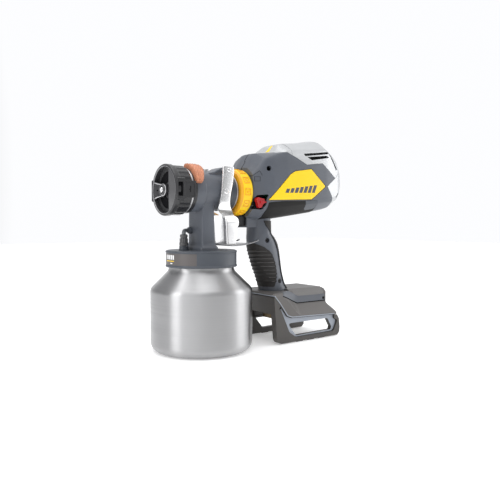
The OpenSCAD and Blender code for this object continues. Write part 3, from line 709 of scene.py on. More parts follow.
def build_vent():
    centre = (-22, 5)
    valve = turned("vent_seat", fillet([(123.8, 1.4), (123.8, 6.4), (125, 6.4), (125.2, 5.6),
        (129.2, 5.6), (129.2, 1.4)], 0.3, 3), "z", 48, centre=centre)
    dress(valve, "lid_plastic", "gun", "vent_valve")
    knob = turned("vent_knob", fillet([(129.5, 1.2), (129.5, 5.5), (133.2, 5.5), (133.5, 4.9),
        (138.2, 4.9), (138.6, 4.2), (139.6, 4.2), (139.9, 4.7), (142.4, 4.7), (143.4, 3.7),
        (143.4, 1.2)], 0.3, 3), "z", 72, ripple=lambda z, r, a: r
        + (0.2 * math.cos(14 * a) if 4.8 < r < 5.2 else 0), centre=centre)
    dress(knob, "black_plastic", "gun", "vent_cap", material="mid_grey")


def build_hose():
    data = bpy.data.curves.new("vent_tube", "CURVE")
    data.dimensions = "3D"
    data.bevel_depth = 2.5 * MM
    data.bevel_resolution = 6
    data.resolution_u = 8
    data.use_fill_caps = True
    spline = data.splines.new("NURBS")
    spline.points.add(len(HOSE) - 1)
    for point, place in zip(spline.points, HOSE):
        point.co = (place[0] * MM, place[1] * MM, place[2] * MM, 1)
    spline.use_endpoint_u = True
    spline.order_u = 4
    piece = bpy.data.objects.new("vent_tube", data)
    scene.collection.objects.link(piece)
    data.materials.append(MATERIALS["hose_plastic"])
    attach(piece, "gun")
    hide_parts("vent_hose")


# ------ Spray head


def build_head():
    barrel = turned("head_barrel", fillet(
        [(-36, 21.5), (-36, 24.5), (-26.4, 24.5), (-26.4, 25.7), (-8.2, 26), (-6.4, 23.4),
         (21.6, 23.2), (22.2, 23.9), (27, 23.9), (27, 19.5), (-2, 19.5), (-2, 8), (-8, 8),
         (-8, 21.5)],
        [0.3, 0.3, 0, 0.6, 1.0, 0.8, 0.2, 0.4, 0.5, 0.3, 0, 0, 0, 0]), "x", 128)
    stem = loft("head_stem", [
        [(x, y, z) for x, y in fillet([(x0, -w), (x1, -w), (x1, w), (x0, w)], radius)]
        for x0, x1, w, z, radius in (
            (-12, 13, 20, 124, 3.5), (-12, 13, 20, 126.6, 3.5), (-11.7, 12.7, 19.7, 127.5, 3.4),
            (-10.9, 12.2, 18.9, 128.3, 3.2), (-9.8, 11.3, 17.9, 129.8, 3),
            (-9.1, 10.5, 17.2, 132.6, 2.8), (-8.9, 10.1, 17, 136, 2.7), (-8.6, 9.2, 17, 158, 2.7),
            (-8.3, 8.6, 17, 177, 2.7), (-8.6, 9, 17.4, 180, 2.7), (-9.6, 10.4, 18.4, 183.4, 2.7),
            (-9.6, 10.4, 14, 188, 2.7))])
    hood = prism_y("head_hood", [(4.5, 214), (5.5, 218.6), (12, 220.4), (21, 225), (28.6, 227),
        (27.2, 223.4), (26.6, 214)], -11.4, 11.4)
    soften(hood, 1.6, 3)
    apply_modifiers(hood)
    collar = turned("hose_port", fillet([(-12.2, 2.7), (-12.2, 3.9), (-8.6, 4.3), (-8.6, 2.7)],
        [0.2, 0.6, 0.2, 0], 3), "x", 40, centre=(11.5, 148))
    gather(barrel, stem, hood, collar)
    dress(barrel, "slate_plastic", "gun", "head_body", sharp=34)


def ribbed(count, depth, low, high):
    """A ripple that raises rounded ribs where the surface lies outside the low radius."""
    def ripple(along, r, a):
        if r < low or r > high:
            return r
        wave = math.cos(count * a)
        return r + depth * max(-0.35, min(1.0, 2.2 * wave))
    return ripple


def build_nut():
    piece = turned("cap_nut", fillet(
        [(-44.9, 22.6), (-44.9, 28.4), (-43.4, 29.2), (-30.4, 29.2), (-28.8, 28.4), (-28, 27.6),
         (-28, 25), (-41, 25), (-41, 22.6)],
        [0.3, 0.5, 0.6, 0.6, 0.4, 0.3, 0.2, 0, 0]), "x", 240,
        ripple=ribbed(24, 0.34, 28.9, 30))
    dress(piece, "black_plastic", "cap_nut", "union_nut", sharp=45)
    # A light grey ring behind the nut: a painted highlight line.
    turned_line("nut_highlight_ring", [(-27.9, 24.7), (-27.9, 27), (-26, 27.4), (-26, 24.7)], 0.3, 96,
        "silver_paint", "gun", "painted_highlight_grey")


def build_width_ring():
    turned_line("width_band", [(-25.6, 26.4), (-25.6, 27.3), (-21, 27.3), (-21, 26.4)], 0.3, 128,
        "copper_plastic", "width_lever", "black_plastic")
    rings = []
    steps = 150
    across = 40
    for i in range(steps + 1):
        t = i / steps
        a = 17 + 77 * t
        ra = math.radians(a)
        end = min(t, 1 - t) * steps / 7
        lift = min(1.0, end) ** 0.5
        rear = -7.7 - 7.5 * max(0.0, (56 - a) / 39) ** 1.25 - 4.0 * max(0.0, (a - 70) / 24) ** 1.4
        front = -24.2
        section = [(front, 26.6), (rear, 26.6)]
        for j in range(across + 1):
            u = j / across
            x = rear + (front - rear) * u
            edge = min(u, 1 - u) * across / 4
            rise = 27.2 + 5.4 * lift * min(1.0, edge) ** 0.4
            knurl = 0.0
            if 0.12 < u < 0.9 and 0.05 < t < 0.95:
                row = math.sin(math.radians(a * 34)) * math.sin(u * across * 0.7)
                knurl = 0.5 * max(0.0, row)
            section.append((x, rise + knurl))
        rings.append([(x, -r * math.cos(ra), AXIS_Z + r * math.sin(ra)) for x, r in section])
    tab = loft("width_tab", rings)
    dress(tab, "copper_plastic", "width_lever", "width_ring", sharp=40)


def build_air_cap():
    body = turned("air_cap_body", fillet(
        [(-44.8, 4.4), (-44.8, 26.4), (-50.8, 27.2), (-51.7, 28.3), (-51.6, 29.8), (-50.6, 30.6),
         (-45.5, 30.6), (-45.5, 22.1), (-41, 22.1), (-41, 24.3), (-36.4, 24.3), (-36.4, 19),
         (-43.4, 19), (-43.4, 4.4)],
        [0, 0.4, 0.5, 0.5, 0.5, 0.5, 0.3, 0, 0, 0, 0, 0, 0, 0]), "x", 128)
    right = [(-8, AXIS_Z + 5.5)]
    right += circle(26.8, 24, (0, AXIS_Z), 108, 252, False)
    right += [(-8, AXIS_Z - 5.5)]
    wide = prism_x("wing_wide", right, -53, -44.6)
    common(wide, prism_z("wing_slope", [(-44.5, 0), (-49.4, -4), (-49.6, -9), (-50.4, -22),
        (-50.8, -27.5), (-44.5, -27.5)], 150, 240))
    left = [(6, AXIS_Z - 6.6), (20, AXIS_Z - 9)]
    left += circle(26.8, 8, (0, AXIS_Z), -24, 24, False)
    left += [(20, AXIS_Z + 9), (6, AXIS_Z + 6.6)]
    narrow = prism_x("wing_narrow", left, -53, -44.6)
    common(narrow, prism_z("wing_ramp", [(-44.5, 5), (-48.2, 5.9), (-48.8, 9), (-51.2, 19),
        (-51.4, 24), (-50.4, 27.5), (-44.5, 27.5)], 150, 240))
    for piece in (wide, narrow):
        soften(piece, 0.7, 2, 40)
        apply_modifiers(piece)
    hub = turned("hub", fillet([(-44.6, 4.5), (-53.8, 4.5), (-54.6, 4.9), (-54.4, 5.7),
        (-53.2, 6.6), (-51.6, 6.9), (-49, 7), (-44.6, 7.6)], [0, 0.2, 0.2, 0.4, 0.4, 0.5, 0.3, 0]),
        "x", 72)
    parts = [narrow, hub]
    # The wide wing takes a lighter grey than the rest of the cap: painted light, as if lit.
    dress(wide, "black_plastic", "spray_cap", material="mid_grey")
    for side in SIDES:
        lug = [prism_x("lug_front", fillet([(side * y, AXIS_Z + z)
            for y, z in ((29.4, -13.4), (32.3, -12.2), (32.3, 12.2), (29.4, 13.4))], 0.8, 3), -51,
            -41)]
        cut(lug[0], side_block("lug_window", side, (-49.9, -43.6), (30.1, 40),
            (AXIS_Z - 8, AXIS_Z + 8)))
        for xs, ys, low, high in (((-41.2, -26.8), (30.9, 31.8), -8.4, 8.4),
                ((-41.2, -26.4), (30.4, 32.3), -9.8, -8.2), ((-41.2, -26.4), (30.4, 32.3), 8.2,
                9.8), ((-28.8, -26.4), (30.4, 32.2), -9.6, 9.6)):
            lug.append(side_block("lug_plate", side, xs, ys, (AXIS_Z + low, AXIS_Z + high)))
        parts += lug
    gather(body, *parts)
    dress(body, "black_plastic", "spray_cap", "air_cap", bevel=0.35, sharp=40, material="cap_grey")
    for side, name in zip(SIDES, ("near", "far")):
        # A near-black sheet inside each lug window: painted shade in the recess.
        dark = side_block(f"lug_window_shade_{name}", side, (-49.7, -43.8), (29.6, 30.4),
            (AXIS_Z - 7.8, AXIS_Z + 7.8))
        dress(dark, "black_plastic", "spray_cap", material="seam_and_painted_shade")
        for i, (x, z, w, h) in enumerate(((-34.6, -3.4, 0.9, 2.6), (-34.2, 0.2, 0.9, 3.4),
                (-35.6, -0.8, 1.6, 1.0))):
            sign = side_block(f"lug_sign_{name}_{i}", side, (x, x + w), (31.5, 31.95),
                (AXIS_Z + z, AXIS_Z + z + h))
            dress(sign, "black_plastic", "spray_cap", material="seam_and_painted_shade")
    # A near-black disc at the pockets' floor: painted shade in the deep pockets.
    floor = turned("pocket_painted_shade", [(-45.1, 9.8), (-45.1, 26.3), (-44.7, 26.3), (-44.7, 9.8)], "x")
    dress(floor, "black_plastic", "spray_cap", material="seam_and_painted_shade")
    # A lighter grey ring on the rim's inner lip: a painted highlight line.
    turned_line("rim_highlight_line", [(-51.1, 27.5), (-51.7, 28), (-51.7, 28.5), (-51, 28.2)], 0.15, 128,
        "black_plastic", "spray_cap", "rim_painted_highlight")
    # Bright strips along the horn edges, one in the faintly glowing chrome: painted highlights.
    for name, side, material in (("low", -1, "trigger_chrome"), ("high", 1, "painted_highlight_grey")):
        edge = loft(f"horn_highlight_{name}", [[(x - 0.2, y, AXIS_Z + side * (z - 0.8)),
            (x - 0.7, y, AXIS_Z + side * z), (x + 0.6, y, AXIS_Z + side * (z + 0.7))]
            for x, y, z in ((-48.6, 8, 6.4), (-49.6, 12, 7.2), (-51, 18, 8.3), (-51.2, 23, 9.4),
            (-50.4, 26.4, 10.2))])
        dress(edge, "steel", "spray_cap", bevel=0.15, material=material)
    turned_line("cap_insert", [(-54.4, 4.6), (-54.9, 5), (-54.9, 5.8), (-54.2, 6.2)], 0.2, 64,
        "steel", "spray_cap", "mid_grey")
    # A light grey line round the hub: a painted highlight.
    turned_line("hub_highlight_line", [(-52.6, 6.8), (-53.3, 6.5), (-53, 7.1), (-52.3, 7.3)], 0.1, 64,
        "steel", "spray_cap", "painted_highlight_grey")
    # The air holes are near-black discs on the surface: painted shade where the holes are.
    for i, (x, y, z) in enumerate(((-45.6, -5.5, -17), (-45.6, -5.5, 17), (-49.1, -15.6, 0.6),
            (-51.5, 17, 0))):
        plug = rod_x(f"air_hole_shade_{i}", x, x + 1.4, 1.6 if i < 2 else 0.9, AXIS_Z + z, y, 24)
        dress(plug, "black_plastic", "spray_cap", material="seam_and_painted_shade")


def build_nozzle():
    piece = turned("nozzle_body", fillet(
        [(-30, 2.6), (-36.5, 2.6), (-46.8, 2.5), (-50, 0.95), (-55.2, 0.95), (-55.6, 1.3),
         (-55.6, 2.6), (-55, 3.2), (-46, 3.5), (-41, 7), (-36.5, 8), (-36.5, 11), (-33, 11),
         (-33, 3.4), (-30, 3.4)],
        [0, 0, 0, 0, 0.2, 0.2, 0.3, 0.5, 0.5, 1, 0.3, 0.3, 0, 0, 0], 3), "x", 64)
    dress(piece, "steel", "gun", "nozzle_tip", material="trigger_chrome")


def build_coupling():
    sleeve = turned("coupling", fillet(
        [(27, 18), (27, 21.5), (33.4, 21.8), (36.2, 23.4), (37.6, 23.4), (38.4, 22.6),
         (39.4, 22.6), (41.2, 21.4), (41.2, 19.6), (48.8, 19.6), (49.4, 18.6), (51, 18.6),
         (51.6, 19.6), (56, 19.4), (56, 17.2), (38, 17.2), (38, 3), (35, 3), (35, 18)],
        [0.3, 0.4, 1, 0.6, 0.3, 0.3, 0.3, 0.5, 0, 0, 0, 0, 0, 0.4, 0, 0, 0, 0, 0]), "x", 128)
    dress(sleeve, "lid_plastic", "gun", "coupling_sleeve", sharp=36)
    # A light grey line round the coupling's ridge: a painted highlight.
    turned_line("coupling_highlight_line", [(37.8, 22.4), (38.2, 23.6), (39.6, 23.5), (40.4, 22.2)], 0.35,
        128, "silver_paint", "gun", "painted_highlight_grey")


def build_lock_ring():
    ring = turned("lock_band", fillet(
        [(41.5, 20.4), (41.5, 27.2), (43.2, 29.1), (45, 29.4), (56.4, 29.4), (58.4, 28.7),
         (58.4, 24.6), (43.4, 24.6), (43.4, 20.4)],
        [0.4, 0.8, 0.7, 0.5, 0.8, 0.5, 0.3, 0, 0]), "x", 160)
    pads = []
    for i in range(12):
        turn = math.radians(30 * i)
        for low, high in (((46.2, -4.4, 28.6), (54.8, -3.3, 30)),
                ((46.2, 3.3, 28.6), (54.8, 4.4, 30)), ((46.2, -3.5, 28.6), (47.3, 3.5, 29.9)),
                ((53.7, -3.5, 28.6), (54.8, 3.5, 29.9)), ((48.9, -1.1, 28.6), (52.1, 1.1, 29.9))):
            pad = block("ring_bar", low, high)
            for vertex in pad.data.vertices:
                x, y, z = vertex.co
                vertex.co = (x, y * math.cos(turn) - z * math.sin(turn),
                    y * math.sin(turn) + z * math.cos(turn) + AXIS_Z * MM)
            pads.append(pad)
    # The raised squares and the front lip take a darker orange yellow: painted shade along the
    # reliefs and on the lip.
    bars = gather(*pads, name="ring_bars")
    dress(bars, "yellow_plastic", "coupling_ring", bevel=0.25, material="yellow_painted_shade")
    turned_line("ring_lip", [(41.4, 20.6), (41.3, 27.2), (43.1, 29.2), (44.6, 29.3), (43.6, 28.3),
        (42.2, 26.6), (42.2, 20.6)], [0.2, 0.8, 0.5, 0.2, 0.3, 0.5, 0.2], 128, "yellow_plastic",
        "coupling_ring", "yellow_painted_shade")
    dress(ring, "yellow_plastic", "coupling_ring", "lock_ring", bevel=0.3, sharp=40)


# ------ Trigger


def build_trigger():
    parts = []
    for side in SIDES:
        # Yoke plate, then the shoulder that steps in to the blade's wall
        rows = []
        sections = [
            # z, x front, x rear, outer half width
            (226.4, 15.6, 29.6, 26.6), (225.6, 14.8, 30.4, 27.3), (219, 14.4, 30.8, 27.4),
            (210, 13.9, 29.4, 27.4), (204, 13.3, 28.4, 27.4), (196, 12.4, 26.6, 27.4),
            (190, 11.6, 25.4, 27.4), (184, 10.4, 24.6, 27.3), (180, 9.4, 24.8, 27.1),
            (177, 8.9, 26, 26.4), (174.4, 9.2, 28.2, 24.9), (172, 11, 31, 22.6),
            (169.4, 15, 34.6, 19.6), (167, 20.4, 37, 16.6), (165, 24, 42.6, 14.7),
            (162.6, 26.2, 46.6, 14), (158, 27.2, 47.6, 14), (153.6, 27.6, 46.6, 14),
            (150, 27.8, 43.8, 14), (142, 28.2, 43.5, 14), (134, 28.4, 43.4, 14),
            (130.4, 28.4, 43.2, 14)]
        for z, x0, x1, w in sections:
            inner = w - 2.7
            outline = fillet([(x0, inner), (x0, w), (x1, w), (x1, inner)], 1.1, 3)
            rows.append([(x, side * y, z) for x, y in outline])
        parts.append(loft(f"yoke_{side}", rows))
    blade = []
    for z, x0, thick in ((166.6, 23.4, 2.6), (165, 24.6, 2.8), (161, 26, 3), (156, 26.8, 3),
            (150, 27.2, 3), (142, 27.8, 3), (134, 28.2, 3), (130.4, 28.4, 3)):
        outline = fillet([(x0 + thick, -14), (x0 + 0.9, -14), (x0, -9.5), (x0 - 0.3, 0), (x0, 9.5),
            (x0 + 0.9, 14), (x0 + thick, 14)], [0, 1.4, 3, 3, 3, 1.4, 0], 3)
        blade.append([(x, y, z) for x, y in outline])
    parts.append(loft("blade_front", blade))
    parts.append(block("blade_rear", (44.6, -13.6, 154), (47, 13.6, 160)))
    parts.append(rod_y("yoke_bar", 29.6, 223.4, -26, 26, 1.6))
    plate = []
    for i in range(25):
        a = math.radians(-100.6 + 28.6 * i / 24)
        x = 36 + 119 * math.cos(a)
        z = 248.2 + 119 * math.sin(a)
        half = 14 if x < 16 else min(22.4, 14 + (x - 16) * 0.9)
        outline = fillet([(-half, z - 0.9), (half, z - 0.9), (half, z + 0.9), (-half, z + 0.9)],
            0.8, 3)
        plate.append([(x, y, q) for y, q in outline])
    leaf_piece = loft("leaf", plate)
    cut(leaf_piece, prism_z("leaf_slot", fillet([(57, -20), (95, -20), (95, 20), (57, 20)],
        [8, 0, 0, 8], 6), 120, 150))
    leaf_piece.name = "trigger_leaf"
    dress(leaf_piece, "trigger_chrome", "trigger_lever", bevel=0.3, material="leaf_steel")
    body = gather(*parts, name="trigger_lever")
    dress(body, "trigger_chrome", "trigger_lever", "trigger", sharp=38)
    for side in SIDES:
        for i, (x, z, r) in enumerate(((19, 195.6, 3.1), (23, 221.5, 2.4))):
            stud = turned(f"stud_{side}_{i}".replace("-", "m"), fillet(
                [(0, 0.01), (0, r), (0.5, r), (0.8, r - 0.5), (0.8, 0.01)], [0, 0, 0.2, 0.2, 0], 3),
                "z", 40)
            for vertex in stud.data.vertices:
                px, py, pz = vertex.co
                vertex.co = (px + x * MM, side * (pz + 27.05 * MM), py + z * MM)
            dress(stud, "trigger_chrome", "trigger_lever" if i else "needle_group")


# ------ Housing


def skin(name, outer, inner, outline, low=-FAR, high=FAR):
    piece = housing(name, outer)
    within(piece, outline, low, high)
    cut(piece, housing("inside", inner))
    return piece


def build_shell():
    """Both halves of the handle and motor housing."""
    for side, name in ((-1, "shell_left"), (1, "shell_right")):
        piece = housing(f"handle_{name}", 0)
        join(piece, grip("grip_body", 0), block("switch_port", (61.5, -11, 151.5), (82, 11, 168)))
        cut(piece, housing("inside", -WALL), grip("grip_inside", -WALL),
            block("port_inside", (57, -8.9, 153), (80, 8.9, 170)),
            side_block("half", -side, (0, 300), (0.05, FAR), (0, 300)))
        cut(piece, through(COVERED))
        cut(piece, rod_x("outlet", 50, 71, 24.4))
        recess = housing("recess", 1)
        within(recess, fillet(LABEL, [0, 3, 3, 3, 1.5, 1.5]), *sorted((side * 20, side * FAR)))
        cut(recess, housing("recess_floor", -1.2))
        cut(piece, recess)
        if side < 0:
            cut(piece, prism_y("dial_cut", fillet(DIAL_RECESS, 1.5, 3), -60, -20),
                rod_y("dial_round", *DIAL, -60, -20, 8.6))
            cut(piece, *[rod_y(f"screw_{i}", x, z, -60, -13, 3.3) for i, (x, z) in enumerate(
                SCREWS)])
        dress(clean(piece), "slate_plastic", "gun", name, bevel=0.5, sharp=28)


def build_labels():
    for side, name in ((-1, "label_left"), (1, "label_right")):
        outline = fillet(grow(LABEL, -0.8), [0.3, 3, 3, 3, 1.5, 1.5])
        low, high = sorted((side * 20, side * FAR))
        piece = skin(f"side_{name}", 0.3, -1.2, outline, low, high)
        dress(clean(piece), "yellow_plastic", "gun", name, bevel=0.25)
        marks = []
        for i in range(7):
            x = 102 + 7.5 * i
            z = 196 + 0.25 * i
            h = 5.4 + 0.8 * i
            marks.append(prism_y(f"bar_{i}", [(x, z), (x + 5.4, z), (x + 5.4 + 0.45 * h, z + h),
                (x + 0.45 * h, z + h)], low, high))
        mark = gather(*marks)
        common(mark, housing("print_top", 0.36))
        cut(mark, housing("print_floor", 0.1))
        mark.name = f"mark_{name}"
        dress(mark, "black_plastic", "gun", material="print_dark")


def build_covers():
    top = skin("silver_top", 0, -WALL, grow(COVER, -0.25))
    cut(top, *[through(fillet(slot, radius, 3)) for slot, radius in (
        ([(135.6, 248.6), (183.4, 254.8), (184.4, 251.8), (137.6, 245.6)], 0.6),
        ([(140.6, 244.4), (179, 249.2), (184, 246.6), (149, 240.9)], 0.6),
        ([(184.6, 251.6), (187.4, 252), (200.6, 232.2), (198, 230)], 0.7))])
    groove = housing("groove", 1)
    within(groove, [(114.4, 240), (116, 240), (118, 280), (116.4, 280)])
    cut(groove, housing("groove_floor", -0.5))
    cut(top, groove)
    dress(clean(top), "silver_paint", "gun", "top_cover", bevel=0.45, sharp=30)
    rear = skin("silver_rear", 0, -WALL, grow(REAR, -0.25))
    cut(rear, through(fillet([(199, 192), (203.5, 199), (202, 200), (197.6, 193)], 0.5, 2)))
    dress(clean(rear), "silver_paint", "gun", "rear_cap", bevel=0.45, sharp=30)
    mark = housing("cover_mark", 0.15)
    area = [(-2, 251), (-8.6, 251), (-7.4, 260.2), (-3.8, 260.2)]
    common(mark, prism_x("mark_area", area, 96, 112))
    cut(mark, housing("mark_floor", -0.3))
    dress(mark, "yellow_plastic", "gun")


def build_seams():
    """The crease at the front of the left shell, a moulded sign and the belly's rear panel."""
    crease = housing("front_crease", 0.12)
    common(crease, prism_x("crease_area", [(0.4, 249.6), (-0.4, 249.6), (-0.4, 238), (-2.6, 236.4),
        (-2.6, 222), (-1.8, 222), (-1.8, 236), (0.4, 237.6)], 50, 96.8))
    cut(crease, housing("crease_floor", -0.4))
    dress(crease, "slate_plastic", "gun", material="seam_and_painted_shade")
    strokes = [skin("stroke", 0.12, -0.2, outline, -60, -15) for outline in (
            [(59, 216.4), (66.6, 223), (67, 222.4), (59.4, 215.8)],
            [(66.6, 223), (67.2, 223), (69.8, 217), (69.2, 217)],
            [(61.7, 215), (66.9, 215), (66.9, 215.6), (61.7, 215.6)],
            [(61, 209.6), (61.6, 209.6), (61.6, 215.6), (61, 215.6)],
            [(67, 209.6), (67.6, 209.6), (67.6, 215.6), (67, 215.6)],
            [(61.7, 209.6), (66.9, 209.6), (66.9, 210.2), (61.7, 210.2)])]
    sign = gather(*strokes, name="moulded_sign")
    dress(sign, "slate_plastic", "gun", material="sign_grey")
    panel = skin("belly_panel", 0.62, 0.2, fillet([(137, 186.6), (160.3, 187.4), (162.4, 178),
        (159, 176.4), (147, 174.6), (143, 176)], 1, 3))
    dress(panel, "slate_plastic", "gun", bevel=0.15, material="lid_plastic")


def build_belly():
    piece = skin("belly_band", 0.5, -1.2, fillet(grow(BELLY, -0.3), [0, 2, 1, 2.5, 1, 0], 3))
    cut(piece, grip("grip_room", 0.2))
    dress(clean(piece), "grip_rubber", "gun", "belly_guard", bevel=0.4, material="deep_rubber")


def pad_ribs(z, a):
    """Finger ribs on the front of the grip, fading towards the back."""
    if not 77.4 < z < 123.2:
        return 0
    front = max(0.0, 0.8 - math.cos(a))
    wave = 0.5 + 0.5 * math.cos((z - 80) * 2 * math.pi / RIB_PITCH)
    return 1.0 * min(1.0, front * 2.2) * wave ** 2.2 - 0.25


def spine_ribs(z, a):
    if not 96 < z < 156:
        return 0
    back = max(0.0, math.cos(a) - 0.72)
    return 0.5 * min(1.0, back * 6) * (0.5 + 0.5 * math.cos((z - 96) * 2 * math.pi / 3.2))


def build_grip_rubber():
    pad_outline = fillet(PAD_AREA, [0, 4, 6, 8, 10, 8, 6, 2, 0])
    pad = grip("finger_pad", 0.9, 0.6, 96, pad_ribs)
    within(pad, pad_outline, -40, 40)
    cut(pad, grip("pad_room", -0.6))
    clean(pad, 0.02, 0.2)
    dress(pad, "grip_rubber", "gun", "grip_pad", bevel=0.3, sharp=40)
    # Lighter grey strips on top of each finger rib: painted highlights on the crests.
    slabs = gather(*[block("rib_slab", (60, -40, z - 0.5), (130, 40, z + 0.2))
        for z in (80 + RIB_PITCH * k for k in range(9))])
    crest = grip("rib_crest_highlights", 1.05, 0.6, 96, pad_ribs)
    common(crest, slabs)
    within(crest, grow(pad_outline[:-1], -2.2), -40, 40)
    cut(crest, grip("crest_room", 0.3))
    dress(crest, "grip_rubber", "gun", material="rib_painted_highlight")
    spine_outline = fillet(SPINE_AREA, [1, 5, 6, 8, 10, 10, 8, 2, 0, 0])
    spine = grip("back_spine", 1.1, 1.0, 96, spine_ribs)
    within(spine, spine_outline, -40, 40)
    cut(spine, grip("spine_room", -0.6))
    clean(spine, 0.02, 0.2)
    dress(spine, "grip_rubber", "gun", "grip_spine", bevel=0.3, sharp=40)
    upper = [(31.9, 59.4), (31.7, 62.3), (25.3, 68.9), (-25.3, 68.9), (-31.7, 62.3), (-31.9, 59.4),
             (-30, 58.8), (30, 58.8)]
    pad_top = prism_x("box_pad", fillet(upper, [0.4, 2.4, 3.4, 3.4, 2.4, 0.4, 0, 0]), 116, 179.4)
    within(pad_top, fillet([(117.5, 75), (119.5, 66.4), (124.5, 62.6), (131.6, 59.8), (178.5, 58.9),
        (179.4, 75)], [0, 3, 4, 3, 1.5, 0]))
    cut(pad_top, prism_x("box_pad_room", [(31, 50), (31, 62), (25, 68), (-25, 68), (-31, 62),
        (-31, 50)], 100, 190))
    # The box pad is much lighter than the grip rubber: painted light on the lit top of the box.
    dress(clean(pad_top), "grip_rubber", "gun", bevel=0.4, material="pad_painted_light_grey")


def build_dial():
    x, z = DIAL
    outline = []
    for i in range(96):
        a = 2 * math.pi * i / 96
        r = 6.1 + 1.2 * math.cos(3 * a) + 0.3 * math.cos(21 * a)
        outline.append((x + r * math.cos(a + 0.35), z + r * math.sin(a + 0.35)))
    knob = prism_y("dial_knob", outline, -33, -27.4)
    pointer = prism_y("dial_pointer", [(x - 1, z + 1.6), (x + 7.8, z + 0.9), (x + 7.8, z - 0.9),
        (x - 1, z - 1.6)], -34.5, -32.6)
    gather(knob, pointer)
    dress(knob, "red_plastic", "dial", "power_dial", bevel=0.7, steps=3, sharp=40)
    floor = prism_y("dial_floor", fillet(grow(DIAL_RECESS, -0.2), 1.4, 3), -27.2, -26.8)
    dress(floor, "black_plastic", "gun", bevel=0.1, material="seam_and_painted_shade")


# ------ Battery foot


def foot_ring(x, half, radii):
    outline = fillet(half + [(-y, z) for y, z in half[::-1]], radii + radii[::-1], 3)
    return [(x, y, z) for y, z in outline]


def foot_rings(d):
    """Sections of the foot, wide at the front and stepped in round the box, moved out by d."""
    front = [(FOOT_HALF, 28), (FOOT_HALF, 60), (40.5, 63), (38.5, 66), (36, 67)]
    rear = [(FOOT_HALF, 28), (FOOT_HALF, 34), (31, 48), (31, 62), (25, 68)]
    rings = []
    for x in (80, 98, 103, 109, 115, 121, 126, 131, 205):
        t = min(1.0, max(0.0, (x - 98) / 33))
        t = t * t * (3 - 2 * t)
        half = [(a[0] + (b[0] - a[0]) * t + d, a[1] + (b[1] - a[1]) * t + 0.6 * d)
                for a, b in zip(front, rear)]
        rings.append(foot_ring(x, half, [0.1, 1.5, 1.5, 1.5, 1.5]))
    return rings


def side_holes(name, place, near, far, radius):
    """The same round bar on both sides."""
    outline = circle(radius, 48, place)
    return [side_prism(name, side, outline, near, far) for side in SIDES]


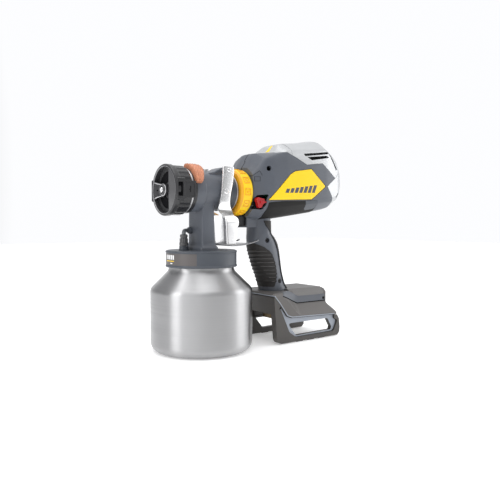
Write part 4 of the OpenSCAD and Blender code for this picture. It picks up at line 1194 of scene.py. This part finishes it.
def build_foot():
    shape = loft("foot_shape", foot_rings(0))
    top = prism_y("foot_top", fillet(FOOT_TOP, [1, 4, 4, 3, 1, 1, 2, 3, 2, 2, 2, 2, 2]), -FOOT_HALF,
        FOOT_HALF)
    common(top, shape)
    cut(top, prism_x("foot_room", [(-28.5, 36), (-28.5, 61), (-24, 65.4), (24, 65.4), (28.5, 61),
        (28.5, 36)], 108, 181), block("foot_under", (104, -32.5, 20), (200, 32.5, 33.2)),
        block("terminal_slot", (110, -12, 30), (124, 12, 40)))
    cut(top, *side_holes("foot_hole", BOX_HOLE, 29.4, 45, 2.2))
    dress(clean(top), "foot_plastic", "gun", "foot_cover", bevel=0.6, steps=3, sharp=30)
    for name, rise, area, slot, material in (("box_band", 0.25, BAND_AREA, "slate_plastic",
            "slate_plastic"), ("box_groove", 0.3, GROOVE_AREA, "foot_plastic", "seam_and_painted_shade")):
        band = loft(name, foot_rings(rise))
        within(band, area)
        cut(band, loft("band_room", foot_rings(-0.6)),
            prism_x("band_top", [(-29, 60), (-36, 90), (36, 90), (29, 60)], 100, 220))
        cut(band, *side_holes("band_hole", BOX_HOLE, 28, 45, 2.2))
        dress(clean(band), slot, "gun", material=material)
    # A lighter slate strip along the cover's lower edges and front: a painted highlight line.
    lines = [side_prism("edge", side, EDGE_HIGHLIGHT_AREA, 41, 41.8) for side in SIDES]
    lines.append(block("edge_front_highlight", (82.3, -41, 63.3), (83.6, 41, 64.3)))
    edge = gather(*lines, name="cover_edge_highlight")
    dress(edge, "foot_plastic", "gun", bevel=0.2, material="slate_light")
    parts = []
    frames = []
    window = fillet(GUARD_WINDOW, [3, 3, 2, 2, 4])
    recess_corners = [0, 4, 7, 7, 6, 3, 2, 0, 0]
    for side in SIDES:
        mid = side * PAD_Y
        rail = prism_y("rail", fillet(GUARD, [1, 4, 4, 3, 1, 3, 4, 5, 4, 3, 2, 3, 4]), mid - 4.5,
            mid + 4.5)
        cut(rail, side_prism("recess", side, fillet(GUARD_RECESS, recess_corners, 5), 38.5, 46))
        cut(rail, through(window), side_prism("rail_hole", side, circle(2.1, 48, GUARD_HOLE), 36,
            50), *[block("notch", (x - 6.2, mid - 3, -1), (x + 6.2, mid + 3, 2.6)) for x in PADS_X])
        parts.append(rail)
        border = side_prism("window_frame", side, fillet(grow(GUARD_RECESS, -0.5), recess_corners,
            5), 38.3, 39)
        within(border, grow(GUARD, -0.6))
        cut(border, through(window))
        frames.append(border)
    lip = prism_y("lip", fillet([(82.6, 63.6), (92.5, 52.6), (94, 48), (92, 39.5), (84.9, 39.5)],
        [1, 3, 2, 1, 1], 3), -FOOT_HALF + 8, FOOT_HALF - 8)
    parts.append(lip)
    guard = clean(gather(*parts, name="foot_frame"))
    # The guard takes the darker copy of the foot plastic: painted shade, as the guard sits in
    # shadow.
    dress(guard, "foot_plastic", "gun", "foot_guard", bevel=0.8, steps=3, sharp=28,
          material="foot_painted_shade")
    border = gather(*frames, name="window_frame")
    cut(border, *side_holes("frame_hole", GUARD_HOLE, 36, 50, 2.1))
    # Near-black discs at the bottom of the screw holes: painted shade.
    wells = side_holes("screw_well_shade", GUARD_HOLE, 36.4, 37.4, 2)
    wells += side_holes("box_well_shade", BOX_HOLE, 28.8, 29.6, 2.1)
    dress(gather(*wells, name="screw_well_shade"), "foot_plastic", "gun", material="seam_and_painted_shade")
    dress(clean(border), "foot_plastic", "gun", bevel=0.3, material="slate_light")
    pads = [side_block("pad", side, (x - 6, x + 6), (PAD_Y - 2.8, PAD_Y + 2.8), (0, 2.6))
            for side in SIDES for x in PADS_X]
    dress(gather(*pads, name="ground_pads"), "grip_rubber", "gun", "foot_pads", bevel=0.6, steps=3)


# ------ Everything


def dress_cad_nodes():
    """Materials for the CAD nodes that stay."""
    slots = {part["node"]: part["material_slot"] for part in frame["record"]["subparts"]}
    for name, node in frame["nodes"].items():
        material = MATERIALS["dark_steel" if name.endswith("_screws") else slots[name]]
        node.data.materials.clear()
        node.data.materials.append(material)


def make_stage():
    floor = loft("floor", [[(-4000, y, 0), (4000, y, 0), (4000, y, -4), (-4000, y, -4)]
        for y in (-4000, 4000)])
    finish("paper_floor", (0.88, 0.88, 0.88), 0.8, 200, vary=0.004, cloud=3, glow=0.34)
    floor.data.materials.append(MATERIALS["paper_floor"])


make_camera()
make_world()
make_stage()
scene.view_settings.view_transform = "Standard"
scene.view_settings.look = "None"
area_light("key", (-1.6, 0.03, 0.75), (0, 0, 0.15), (0.6, 1.5), 9)
area_light("side_right", (1.65, -0.7, 0.6), (0.1, 0, 0.12), (0.9, 1.4), 8)
area_light("top", (-0.2, -0.1, 1.6), (0.08, 0, 0.15), (1.5, 1.5), 13)

make_materials()
dress_cad_nodes()
build_cup()
build_lid()
build_vent()
build_hose()
build_head()
build_nut()
build_width_ring()
build_air_cap()
build_nozzle()
build_coupling()
build_lock_ring()
build_trigger()
build_shell()
build_labels()
build_covers()
build_belly()
build_seams()
build_grip_rubber()
build_dial()
build_foot()
